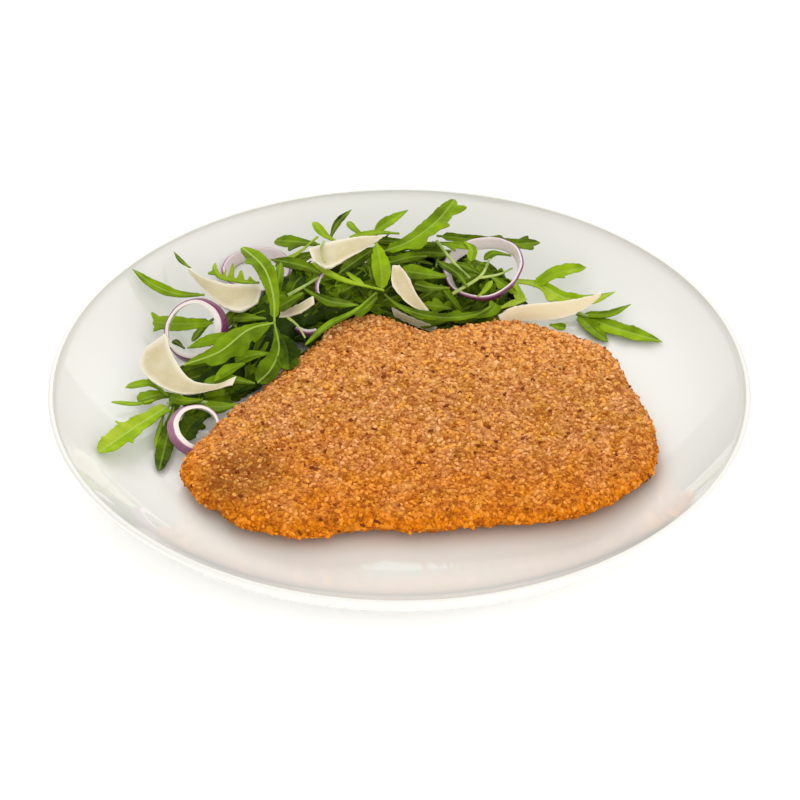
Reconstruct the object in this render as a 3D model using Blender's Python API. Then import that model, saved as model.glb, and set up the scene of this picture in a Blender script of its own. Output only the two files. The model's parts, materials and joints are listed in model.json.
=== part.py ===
"""A breaded schnitzel on a round coupe plate, with a salad of rocket, red onion rings and cheese shavings.

Metres, +Z up. The origin is on the plate's axis, at the level of the foot that it stands on.
The salad lies behind the schnitzel, towards +Y, and curls forward round its left end, towards -X.
Shapes are described in millimetres, measured from the plate's axis, and turned into metres once.
"""

import math

import bmesh
import bpy
from mathutils import Matrix, Vector

MM = 0.001
GAP = 0.3  # clearance kept between pieces that touch

# The plate
RIM_RADIUS = 135.0
RIM_HEIGHT = 26.0
LIP_RADIUS = 1.4
FLAT_RADIUS = 88.0
FLOOR_HEIGHT = 7.0
WALL_POWER = 2.2
BASE_THICKNESS = 4.5
RIM_THINNING = 0.9  # how much thinner the wall is where it reaches the rim
FOOT_OUTER = 80.0
FOOT_INNER = 74.0
FOOT_ROUNDING = 0.6
FOOT_DRAFT = 1.2  # how far the foot's inner face slopes in
OUTER_START = 2.5  # where the outer wall starts, out from the foot
OUTER_END = 4.0  # where it ends, in from the rim
PLATE_SEGMENTS = 60
WALL_STEPS = 5
OUTER_STEPS = 3
LIP_ANGLES = (125, 90, 45, 0, -45)

# The schnitzel
SCHNITZEL_THICKNESS = 13.0
SCHNITZEL_CENTRE = (6.0, -14.0)
SCHNITZEL_SEGMENTS = 60
THIN_END = 3.2  # how much thinner its left end is
EDGE_LIFT = 1.0  # how far its rim curls up at most, added to the nose's own height
SWELL = 0.55  # height of the broad swells on its top
RIPPLE = 0.25  # height of the small ones
RAGGED = 0.5  # how far its edge wanders in and out
SCHNITZEL_OUTLINE = (
    (-83, -42), (-78, -25), (-66, -5), (-50, 14), (-38, 32), (-27, 49), (-14, 58), (1, 53), (13, 46),
    (28, 51), (45, 53), (58, 48), (75, 40), (87, 27), (91, 6), (98, -16), (97, -42), (84, -57),
    (67, -70), (40, -75), (12, -78), (-11, -77), (-36, -82), (-58, -75), (-67, -66), (-77, -58),
)  # fmt: skip
# The nose of its edge: how far in from the outline, how high over the plate as a share of the thickness,
# and the share of the edge's lift
NOSE = (
    (15.0, 0.0, 0.0), (8.0, 0.06, 0.4), (3.6, 0.17, 0.8), (0.8, 0.32, 1.0), (0.0, 0.48, 0.95),
    (0.9, 0.64, 0.65), (2.8, 0.79, 0.28), (6.0, 0.91, 0.06), (11.0, 0.98, 0.0),
)  # fmt: skip
TOP_RINGS = (0.74, 0.48, 0.22)

# The rocket heap: where its ridge runs, its half width and its height over the plate's floor
RIDGE = (
    (-82, -8, 4, 4), (-78, 6, 8, 10), (-65, 24, 12, 18), (-55, 45, 15, 25), (-40, 62, 19, 29),
    (-18, 73, 21, 30), (6, 75, 22, 29), (27, 74, 21, 23), (43, 73, 14, 15), (54, 74, 5, 6),
)  # fmt: skip
RIDGE_STATIONS = 28
RIDGE_ARCH = 8  # spans over the top of a section
RIDGE_BASE = 3  # spans across its flat bottom
BASE_EDGE = 0.9  # height of its edge where it runs out on the plate
TUFTS = 0.13  # how far the bunched leaves stand out, as a share of the heap's size

# Rocket leaves: root, middle, tip, half width, number of side lobes, roll in degrees
BLADE_THICKNESS = 1.2
BLADE_STATIONS = 9
LOBE_LEAN = 0.75  # how far a lobe's tip leans forward, per unit of its width
HEAP_LEAVES = (
    ((-80, 3, 11), (-100, -13, 17), (-114, -34, 16.5), 4.6, 0, 8),
    ((-80, 6, 11), (-96, 3, 10.5), (-112, 1, 14), 1.6, 0, 0),
    ((-79, 3, 9), (-89, -15, 8.4), (-91, -35, 9.4), 3.8, 0, 0),
    ((-62, 50, 17), (-84, 59, 20), (-106, 75, 26), 2.6, 0, 10),
    ((-60, 46, 17), (-84, 48, 16), (-99, 56, 18), 4.4, 0, 0),
    ((-52, 43, 24), (-52, 50, 43), (-63, 70, 38), 4.4, 1, 0),
    ((-52, 41, 24), (-64, 22, 31), (-83, 15, 20), 7.0, 1, 18),
    ((-50, 42, 22), (-50, 26, 27), (-58, 12, 19), 4.6, 0, 0),
    ((-26, 80, 27), (-38, 89, 33), (-50, 97, 25), 4.0, 0, -10),
    ((-26, 82, 28), (-30, 91, 34), (-34, 95, 37), 2.2, 0, 40),
    ((-26, 82, 28), (-23, 87, 36), (-19, 99, 38.5), 2.0, 0, 0),
    ((-12, 74, 32), (10, 80, 42), (23, 101, 41), 5.6, 1, 20),
    ((-12, 78, 31), (-5, 88, 39), (3, 98, 39.5), 2.2, 0, 10),
    ((14, 80, 26), (39, 91, 32), (57, 87, 30), 3.4, 0, 0),
    ((42, 74, 11), (65, 69, 14.5), (86, 71, 17), 4.0, 1, 0),
    ((42, 75, 12), (63, 86, 19), (75, 87, 18), 3.2, 0, 0),
)
SPRIG_LEAVES = (
    ((73, 63, 10.5), (88, 56, 12), (104, 44, 13.5), 4.6, 0, 0),
    ((77, 60.5, 11), (85, 61, 13.5), (92, 67, 15.5), 1.6, 0, 0),
    ((79, 60, 10.5), (81, 54, 11), (83, 48, 9.5), 2.4, 0, 0),
)

# Red onion rings: centre, way the ring's axis points, outer radius, how oval it is, and the first and
# last angle in degrees
ONION_WALL = 2.6
ONION_SLICE = 3.2
ONION_SEGMENTS = 24
ONION_WAVE = 0.7
ONION_SECTION = ((1, 0.4), (0.3, 1), (-0.8, 0.9), (-1, -0.4), (-0.3, -1), (0.8, -0.9))
ONION_RINGS = {
    "onion_ring_left": ((-80.5, 39.5, 21), (0.10, -0.80, 0.59), 12.9, 0.97, 0, 360),
    "onion_ring_back": ((-58, 88, 15), (0.0, -0.14, 0.99), 14.2, 0.97, 0, 360),
    "onion_ring_right": ((34, 74, 27), (-0.20, -0.23, 0.95), 16.0, 0.95, 0, 360),
    "onion_ring_front": ((-81.6, -10.4, 12.8), (-0.12, -0.40, 0.90), 10.4, 0.95, 0, 360),
    "onion_arc_middle": ((-19, 56, 30), (-0.07, -0.45, 0.89), 14.4, 0.95, 70, 215),
    "onion_strip_low": ((-36, 49.5, 21.5), (0.0, -0.60, 0.80), 9.0, 1.0, 215, 300),
}

# Cheese shavings: the two long edges of each curled slice, from one end to the other
SHAVING_THICKNESS = 1.1
SHAVING_STATIONS = 8
SHAVINGS = {
    "shaving_left": (
        ((-91, 30, 26), (-88, 21, 22.5), (-81, 10, 20), (-72, 5, 21.5), (-63, 7, 22)),
        ((-102, 28, 20), (-105, 17, 17), (-97, 6, 15.5), (-82, 3, 16.5), (-64, 5.5, 19.5)),
    ),
    "shaving_back": (
        ((-86, 72.5, 28), (-78, 63, 29), (-67, 58, 30), (-56, 56, 31)),
        ((-84, 70, 25), (-75, 54, 26), (-68, 47, 26), (-61, 43.5, 27)),
    ),
    "shaving_top": (
        ((-36, 68, 40), (-28, 70, 42), (-17, 72.5, 43), (-6, 75, 42)),
        ((-34, 62, 38), (-28, 58, 37.5), (-18, 65, 39), (-9, 73, 40.5)),
    ),
    "shaving_middle": (
        ((0, 60, 38), (4, 57, 34), (7, 54, 28), (12, 50.5, 22)),
        ((-3, 60, 37.5), (-3, 54.5, 32), (3, 52, 25), (11, 50, 21.3)),
    ),
    "shaving_right": (
        ((39, 53.5, 18), (52, 58, 19), (66, 63, 18), (81, 69.5, 17)),
        ((41, 54, 15.5), (52, 56, 14), (66, 58.5, 13.5), (79, 67, 15.5)),
    ),
    "shaving_small": (
        ((-49, 52, 19), (-42, 51, 22), (-34, 51, 26)),
        ((-47, 48, 17.5), (-40, 47.5, 20), (-34, 49, 24.5)),
    ),
    "shaving_low": (
        ((-3, 57.5, 20), (5, 54, 19), (15, 51, 18)),
        ((-2, 57, 15.5), (6, 53, 14.5), (14, 51, 14)),
    ),
}

COLOURS = {
    "glazed_white": ((0.86, 0.86, 0.84), 0.08),
    "fried_crumb": ((0.60, 0.28, 0.09), 0.75),
    "rocket_green": ((0.12, 0.30, 0.04), 0.50),
    "red_onion": ((0.62, 0.38, 0.52), 0.35),
    "hard_cheese": ((0.86, 0.76, 0.54), 0.55),
}


def clear_scene():
    for thing in list(bpy.data.objects):
        bpy.data.objects.remove(thing, do_unlink=True)


def finish_material(name):
    colour, roughness = COLOURS[name]
    made = bpy.data.materials.new(name)
    made.use_nodes = True
    shader = made.node_tree.nodes["Principled BSDF"]
    shader.inputs["Base Color"].default_value = (*colour, 1.0)
    shader.inputs["Roughness"].default_value = roughness
    shader.inputs["Metallic"].default_value = 0.0
    return made


def object_from(name, bm, material, collection=None):
    """A smooth-shaded object, in metres, from a bmesh that is in millimetres."""
    bmesh.ops.scale(bm, vec=(MM, MM, MM), verts=bm.verts)
    bmesh.ops.recalc_face_normals(bm, faces=bm.faces)
    mesh = bpy.data.meshes.new(name)
    bm.to_mesh(mesh)
    bm.free()
    mesh.materials.append(material)
    mesh.shade_smooth()
    mesh.set_sharp_from_angle(angle=math.radians(50))
    made = bpy.data.objects.new(name, mesh)
    (collection or bpy.context.scene.collection).objects.link(made)
    return made


def helper_collection(name):
    """A collection of shapes that a Boolean joins to another piece or cuts from it."""
    made = bpy.data.collections.new(name)
    bpy.context.scene.collection.children.link(made)
    return made


def as_helper(thing):
    thing.hide_render = True
    thing.display_type = "WIRE"
    return thing


def boolean(thing, operation, collection):
    cut = thing.modifiers.new(operation.lower(), "BOOLEAN")
    cut.operation = operation
    cut.operand_type = "COLLECTION"
    cut.collection = collection
    cut.solver = "EXACT"
    cut.use_self = operation == "UNION"


def smooth_step(t):
    t = min(1.0, max(0.0, t))
    return t * t * (3.0 - 2.0 * t)


def spline(points, t, closed=False):
    """A point of a Catmull-Rom curve through points, t running from 0 to 1."""
    count = len(points)
    spans = count if closed else count - 1
    at = min(t * spans, spans - 1e-9)
    i, u = int(at), at - int(at)

    def knot(k):
        if closed:
            return Vector(points[k % count])
        if k < 0:
            return 2 * Vector(points[0]) - Vector(points[1])
        if k >= count:
            return 2 * Vector(points[-1]) - Vector(points[-2])
        return Vector(points[k])

    a, b, c, d = (knot(i + k) for k in (-1, 0, 1, 2))
    square, cube = 2 * a - 5 * b + 4 * c - d, 3 * b - a - 3 * c + d
    return 0.5 * (2 * b + (c - a) * u + square * u**2 + cube * u**3)


def dish_height(radius):
    """Height of the plate's upper face at a distance from its axis."""
    out = max(0.0, radius - FLAT_RADIUS) / (RIM_RADIUS - FLAT_RADIUS)
    return FLOOR_HEIGHT + (RIM_HEIGHT - FLOOR_HEIGHT) * out**WALL_POWER


def over_dish(point, clearance=GAP):
    """The point itself, or lifted so that it stays clear of the plate."""
    lowest = dish_height(math.hypot(point[0], point[1])) + clearance
    return Vector((point[0], point[1], max(point[2], lowest)))


def loft(bm, rings, closed_rings=True):
    """Quads between rings of points, one list of bmesh vertices for each ring."""
    made = [[bm.verts.new(p) for p in ring] for ring in rings]
    for low, high in zip(made, made[1:]):
        spans = len(low) if closed_rings else len(low) - 1
        for i in range(spans):
            j = (i + 1) % len(low)
            bm.faces.new((low[i], low[j], high[j], high[i]))
    return made


def fan(bm, ring, centre):
    """Triangles from a ring of vertices to one point."""
    middle = bm.verts.new(centre)
    for i, vert in enumerate(ring):
        bm.faces.new((vert, ring[(i + 1) % len(ring)], middle))


def make_plate():
    """The coupe plate, turned: a flat floor, a wall that rises in one curve, a round lip and a foot."""
    lip_centre = Vector((RIM_RADIUS - LIP_RADIUS, RIM_HEIGHT - LIP_RADIUS))
    wall_span = lip_centre.x - LIP_RADIUS - FLAT_RADIUS
    wall = [FLAT_RADIUS + wall_span * (i / WALL_STEPS) for i in range(WALL_STEPS + 1)]
    inside = [(r, dish_height(r)) for r in wall]
    lip = []
    for degrees in LIP_ANGLES:
        turn = math.radians(degrees)
        lip.append(lip_centre + LIP_RADIUS * Vector((math.cos(turn), math.sin(turn))))
    first, last = FOOT_OUTER + OUTER_START, RIM_RADIUS - OUTER_END
    outside = []
    for i in reversed(range(OUTER_STEPS + 1)):
        r = first + (last - first) * (i / OUTER_STEPS)
        thinning = (r - FOOT_OUTER) / (RIM_RADIUS - FOOT_OUTER)
        outside.append((r, dish_height(r) - BASE_THICKNESS + RIM_THINNING * thinning))
    base_under = FLOOR_HEIGHT - BASE_THICKNESS
    foot = [
        (FOOT_OUTER, FOOT_ROUNDING),
        (FOOT_OUTER - FOOT_ROUNDING, 0.0),
        (FOOT_INNER + FOOT_ROUNDING, 0.0),
        (FOOT_INNER, FOOT_ROUNDING),
        (FOOT_INNER - FOOT_DRAFT, base_under),
    ]
    profile = [(0.0, FLOOR_HEIGHT), *inside, *lip, *outside, *foot, (0.0, base_under)]
    bm = bmesh.new()
    line = [bm.verts.new((r, 0.0, z)) for r, z in profile]
    edges = [bm.edges.new(pair) for pair in zip(line, line[1:])]
    bmesh.ops.spin(
        bm,
        geom=line + edges,
        cent=(0, 0, 0),
        axis=(0, 0, 1),
        angle=math.tau,
        steps=PLATE_SEGMENTS,
        use_merge=True,
    )
    bmesh.ops.remove_doubles(bm, verts=bm.verts, dist=0.01)
    return object_from("plate", bm, finish_material("glazed_white"))


def schnitzel_thickness(x, y):
    """The slice is beaten thinner towards its left end, and its top swells and dips a little."""
    thin = THIN_END * smooth_step((-30.0 - x) / 50.0)
    swell = SWELL * math.sin(0.062 * x + 0.9) * math.cos(0.055 * y - 0.4)
    ripple = RIPPLE * (math.sin(0.17 * x + 0.11 * y) + math.cos(0.21 * y - 0.09 * x + 1.0))
    return SCHNITZEL_THICKNESS - thin + swell + ripple


def schnitzel_rings(grow):
    """Rings of points from the underside, out round the edge's nose and in over the top."""
    centre = Vector(SCHNITZEL_CENTRE)
    outline = [spline(SCHNITZEL_OUTLINE, i / SCHNITZEL_SEGMENTS, True) for i in range(SCHNITZEL_SEGMENTS)]
    rings = []
    for inset, share, lift in NOSE:
        ring = []
        for i, edge in enumerate(outline):
            turn = math.tau * i / SCHNITZEL_SEGMENTS
            out = edge - centre
            ragged = RAGGED * (math.sin(9 * turn + 1.0) + 0.7 * math.sin(17 * turn))
            at = centre + out.normalized() * (out.length - inset + grow + ragged)
            curl = EDGE_LIFT * (0.6 + 0.4 * math.sin(3 * turn + 0.6)) * lift
            z = FLOOR_HEIGHT + GAP + share * schnitzel_thickness(*at) + curl
            ring.append(Vector((at.x, at.y, z + grow * (2 * share - 1))))
        rings.append(ring)
    last = NOSE[-1][0]
    for shrink in TOP_RINGS:
        inner = []
        for edge in outline:
            out = edge - centre
            at = centre + out.normalized() * ((out.length - last) * shrink)
            inner.append(Vector((at.x, at.y, FLOOR_HEIGHT + GAP + schnitzel_thickness(*at) + grow)))
        rings.append(inner)
    return rings


def make_schnitzel(name, material, grow=0.0, collection=None):
    bm = bmesh.new()
    rings = loft(bm, schnitzel_rings(grow))
    x, y = SCHNITZEL_CENTRE
    fan(bm, rings[0], (x, y, FLOOR_HEIGHT + GAP - grow))
    fan(bm, rings[-1], (x, y, FLOOR_HEIGHT + GAP + schnitzel_thickness(x, y) + grow))
    return object_from(name, bm, material, collection)


def make_heap(material):
    """The body of the rocket heap: uneven sections along a curved ridge, standing on the plate."""
    bm = bmesh.new()
    rings = []
    for s in range(RIDGE_STATIONS + 1):
        t = s / RIDGE_STATIONS
        x, y, half_width, height = spline(RIDGE, t)
        ahead, behind = spline(RIDGE, min(1.0, t + 0.01)), spline(RIDGE, max(0.0, t - 0.01))
        along = Vector((ahead[0] - behind[0], ahead[1] - behind[1])).normalized()
        across = Vector((-along.y, along.x))
        right = half_width * (1.0 + TUFTS * math.sin(9 * t * math.pi + 0.4))
        left = half_width * (1.0 + TUFTS * math.sin(11 * t * math.pi + 2.0))
        ring = []
        for k in range(RIDGE_ARCH + 1):
            turn = math.pi * k / RIDGE_ARCH
            at = Vector((x, y)) + across * (math.cos(turn) * (right if 2 * k < RIDGE_ARCH else left))
            broad, fine = math.sin(13 * t * math.pi + 2 * turn), math.sin(25 * t * math.pi - 3 * turn)
            tuft = 1.0 + TUFTS * (0.6 * broad + 0.5 * fine)
            top = FLOOR_HEIGHT + height * math.sin(turn) ** 0.8 * tuft
            ring.append(Vector((at.x, at.y, max(top, dish_height(at.length) + GAP + BASE_EDGE))))
        for k in range(RIDGE_BASE + 1):
            share = k / RIDGE_BASE
            at = Vector((x, y)) + across * (right * share - left * (1.0 - share))
            ring.append(Vector((at.x, at.y, dish_height(at.length) + GAP)))
        rings.append(ring)
    made = loft(bm, rings)
    for ring in (made[0], made[-1]):
        bm.faces.new(ring)
    return object_from("rocket_heap", bm, material)


def blade_width(t, half_width, lobes):
    """Half width of a leaf along its length: a slim stalk, side lobes with bays, and a long end lobe."""
    end_lobe = math.sin(math.pi * min(1.0, max(0.02, t) ** 0.75)) ** 0.7
    if not lobes:
        return half_width * (0.16 + 0.84 * end_lobe)
    body = 0.5 - 0.5 * math.cos(math.tau * lobes * t / 0.55)
    if t < 0.55:
        return half_width * (0.28 + 0.72 * body**1.4)
    return half_width * (0.28 + 0.60 * math.sin(math.pi * (t - 0.55) / 0.45) ** 0.8)


def make_blade(name, leaf, material, collection):
    """One leaf: a thin blade bent along a curve from its root to its tip, lying clear of the plate."""
    root, middle, tip, half_width, lobes, roll = leaf
    route = (root, middle, tip)
    bm = bmesh.new()
    rings = []
    for s in range(BLADE_STATIONS):
        t = s / (BLADE_STATIONS - 1)
        at = spline(route, t)
        along = (spline(route, min(1.0, t + 0.02)) - spline(route, max(0.0, t - 0.02))).normalized()
        level = along.cross(Vector((0, 0, 1))).normalized()
        side = Matrix.Rotation(math.radians(roll), 3, along) @ level
        normal = side.cross(along).normalized()
        reach = blade_width(t, half_width, lobes)
        lean = along * (LOBE_LEAN * max(0.0, reach - 0.3 * half_width))
        thick = normal * (BLADE_THICKNESS / 2)
        top = [at + side * reach + lean + thick, at + thick, at - side * reach + lean + thick]
        under = [at - side * reach + lean - thick, at - thick, at + side * reach + lean - thick]
        rings.append([over_dish(p, GAP + BLADE_THICKNESS) for p in top] + [over_dish(p) for p in under])
    made = loft(bm, rings)
    for ring in (made[0], made[-1]):
        bm.faces.new(ring)
    return as_helper(object_from(name, bm, material, collection))


def make_rocket(clearances):
    """The heap and the leaves that stick out of it, as one solid, with room for the pieces that lie on it."""
    material = finish_material("rocket_green")
    leaves = helper_collection("heap_leaves")
    for number, leaf in enumerate(HEAP_LEAVES):
        make_blade(f"heap_leaf_{number}", leaf, material, leaves)
    heap = make_heap(material)
    boolean(heap, "UNION", leaves)
    boolean(heap, "DIFFERENCE", clearances)
    side_leaves = helper_collection("sprig_leaves")
    for number, leaf in enumerate(SPRIG_LEAVES[1:]):
        make_blade(f"sprig_leaf_{number}", leaf, material, side_leaves)
    sprig = make_blade("rocket_sprig", SPRIG_LEAVES[0], material, None)
    sprig.hide_render = False
    sprig.display_type = "TEXTURED"
    boolean(sprig, "UNION", side_leaves)


def make_onion(name, shape, material, grow=0.0, collection=None):
    """A slice of one onion layer: a closed ring, or an arc of one, with a slight wave in it."""
    centre, axis, radius, oval, first, last = shape
    axis = Vector(axis).normalized()
    across = Vector((0, 0, 1)).cross(axis).normalized()
    uphill = axis.cross(across)
    whole = last - first >= 360
    stations = ONION_SEGMENTS if whole else round(ONION_SEGMENTS * (last - first) / 360) + 1
    step = (last - first) / (stations if whole else stations - 1)
    half_wall, half_slice = ONION_WALL / 2 + grow, ONION_SLICE / 2 + grow
    bm = bmesh.new()
    rings = []
    for s in range(stations):
        turn = math.radians(first + step * s)
        out = across * math.cos(turn) + uphill * (math.sin(turn) * oval)
        wave = axis * (ONION_WAVE * math.sin(2 * turn + 0.5))
        at = Vector(centre) + out * (radius - ONION_WALL / 2) + wave
        ring = [at + out * (u * half_wall) + axis * (v * half_slice) for u, v in ONION_SECTION]
        rings.append([over_dish(p) for p in ring])
    if whole:
        rings.append(rings[0])
    made = loft(bm, rings)
    if not whole:
        for ring in (made[0], made[-1]):
            bm.faces.new(ring)
    bmesh.ops.remove_doubles(bm, verts=bm.verts, dist=0.001)
    return object_from(name, bm, material, collection)


def make_shaving(name, edges, material, grow=0.0, collection=None):
    """A thin slice of hard cheese, ruled between its two long edges and thickened."""
    bm = bmesh.new()
    rings = []
    for s in range(SHAVING_STATIONS):
        t = s / (SHAVING_STATIONS - 1)
        a, b = spline(edges[0], t), spline(edges[1], t)
        near, far = max(0.0, t - 0.05), min(1.0, t + 0.05)
        along = sum((spline(edge, far) - spline(edge, near) for edge in edges), Vector((0, 0, 0)))
        along.normalize()
        across = (b - a).normalized()
        normal = along.cross(across).normalized()
        a, b = a - across * grow, b + across * grow
        if s in (0, SHAVING_STATIONS - 1):
            shift = along * (grow if s else -grow)
            a, b = a + shift, b + shift
        thick = normal * (SHAVING_THICKNESS / 2 + grow)
        middle = (a + b) / 2
        ring = (a + thick, middle + thick, b + thick, b - thick, middle - thick, a - thick)
        rings.append([over_dish(p) for p in ring])
    made = loft(bm, rings)
    for ring in (made[0], made[-1]):
        bm.faces.new(ring)
    return object_from(name, bm, material, collection)


def main():
    clear_scene()
    clearances = helper_collection("clearances")
    make_plate()
    crumb, onion, cheese = (finish_material(n) for n in ("fried_crumb", "red_onion", "hard_cheese"))
    make_schnitzel("schnitzel", crumb)
    as_helper(make_schnitzel("schnitzel_clearance", crumb, GAP, clearances))
    for name, ring in ONION_RINGS.items():
        make_onion(name, ring, onion)
        as_helper(make_onion(name + "_clearance", ring, onion, GAP, clearances))
    for name, edges in SHAVINGS.items():
        make_shaving(name, edges, cheese)
        as_helper(make_shaving(name + "_clearance", edges, cheese, GAP, clearances))
    make_rocket(clearances)


main()
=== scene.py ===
"""A breaded schnitzel on a round coupe plate, beside a salad of rocket, red onion rings and cheese shavings.

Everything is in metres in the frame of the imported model: the plate stands on Z = 0 round the Z axis.
The salad lies behind the schnitzel and curls forward round its left end.
Shapes are described in millimetres and turned into metres by the functions that place them.
"""

import json
import math
import random
from collections import namedtuple
from functools import partial
from itertools import islice

import bpy
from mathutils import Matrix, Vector, bvhtree, noise

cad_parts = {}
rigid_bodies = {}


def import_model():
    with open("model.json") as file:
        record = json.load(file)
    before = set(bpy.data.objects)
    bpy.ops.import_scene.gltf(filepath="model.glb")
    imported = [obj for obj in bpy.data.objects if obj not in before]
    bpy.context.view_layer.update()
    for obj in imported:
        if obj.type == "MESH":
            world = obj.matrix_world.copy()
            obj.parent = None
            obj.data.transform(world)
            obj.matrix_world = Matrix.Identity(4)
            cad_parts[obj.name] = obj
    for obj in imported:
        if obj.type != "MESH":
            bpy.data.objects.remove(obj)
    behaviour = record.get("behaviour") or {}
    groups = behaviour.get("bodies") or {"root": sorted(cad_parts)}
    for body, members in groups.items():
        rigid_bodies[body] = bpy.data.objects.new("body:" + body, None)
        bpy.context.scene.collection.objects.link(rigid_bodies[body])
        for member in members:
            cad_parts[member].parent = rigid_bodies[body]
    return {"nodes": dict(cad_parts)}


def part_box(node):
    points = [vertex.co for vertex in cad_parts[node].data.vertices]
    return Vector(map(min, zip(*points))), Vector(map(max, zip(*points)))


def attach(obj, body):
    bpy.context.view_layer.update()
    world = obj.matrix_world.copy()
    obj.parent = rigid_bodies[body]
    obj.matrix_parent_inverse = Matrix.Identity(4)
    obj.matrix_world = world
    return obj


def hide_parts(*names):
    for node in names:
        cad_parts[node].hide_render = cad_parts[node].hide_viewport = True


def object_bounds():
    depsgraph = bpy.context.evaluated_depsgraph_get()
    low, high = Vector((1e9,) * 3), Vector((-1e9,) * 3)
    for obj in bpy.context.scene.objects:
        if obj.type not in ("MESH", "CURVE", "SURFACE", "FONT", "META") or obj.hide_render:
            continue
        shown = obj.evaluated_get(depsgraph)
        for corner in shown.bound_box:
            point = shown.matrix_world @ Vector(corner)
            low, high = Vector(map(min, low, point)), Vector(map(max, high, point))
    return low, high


bl_info = {
    "name": "Schnitzel Plate",
    "version": (1, 0, 0),
    "blender": (4, 5, 0),
    "location": "View3D > Sidebar > Schnitzel",
    "description": "Makes a breaded schnitzel with a rocket salad on a coupe plate",
    "category": "Add Mesh",
}

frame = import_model()
CAD_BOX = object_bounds()
PLATE_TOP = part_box("plate")[1]

MM = 0.001
UP = Vector((0.0, 0.0, 1.0))

# The plate's lip, the thickness of its wall, how much thinner it gets outwards, and its foot ring's section
LIP = 0.0014
WALL, THINNER = 0.0045, 0.0009
FOOT_RADIUS = 0.080
FOOT = (
    (0.0806, 0.0018), (0.0800, 0.0006), (0.0798, 0.0002), (0.0794, 0.0), (0.0746, 0.0), (0.0742, 0.0002),
    (0.0740, 0.0006), (0.0734, 0.0018), (0.0724, 0.0025), (0.036, 0.0025), (0.0, 0.0025),
)

# The crust: the sizes of its swells, clumps and pits, its lowest height, and where one crumb fell
SWELL, CLUMP, PIT = 0.011, 0.0036, 0.0019
CRUST_FOOT = 0.0074
STRAY_CRUMB = Vector((0.0985, -0.0475, 0.0084))

# The shapes that a crumb can have: how far it stretches along each axis
CRUMBS = {
    "crumb_round": ((1.0, 0.95, 0.72), (1.15, 0.85, 0.65), (0.9, 0.85, 0.80)),
    "crumb_flake": ((1.35, 0.85, 0.6), (1.2, 1.05, 0.5), (1.45, 0.7, 0.7)),
}

# The height of the plate's floor, and the ridge on it that the rocket is heaped along: x, y, half width and
# height, in millimetres
FLOOR = 7.0
RIDGE = (
    (-82, -8, 4, 4), (-79, 7, 10, 11), (-67, 24, 15, 19), (-55, 45, 16, 25), (-40, 62, 19, 29),
    (-18, 73, 21, 30), (6, 75, 22, 29), (26, 73, 19, 21), (39, 71, 12, 12), (47, 70, 4, 4),
)

# How a blade is shaped: its width at the stalk, where it starts to narrow, how pointed it is,
# and how far its lobes lean forward
STRAP = (0.3, 0.62, 0.62, 0.85)
LANCE = (0.35, 0.42, 0.95, 0.85)
BROAD = (0.6, 0.6, 0.6, 0.85)
FEATHER = (0.8, 0.7, 0.6, 0.15)

# Half widths of a leaf's stalk, tip and rib, in millimetres
STALK, TIP, RIB = 0.45, 0.12, 0.5

Leaf = namedtuple("Leaf", "route half_width fresh lobes form rib", defaults=((), STRAP, 0.3))

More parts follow.
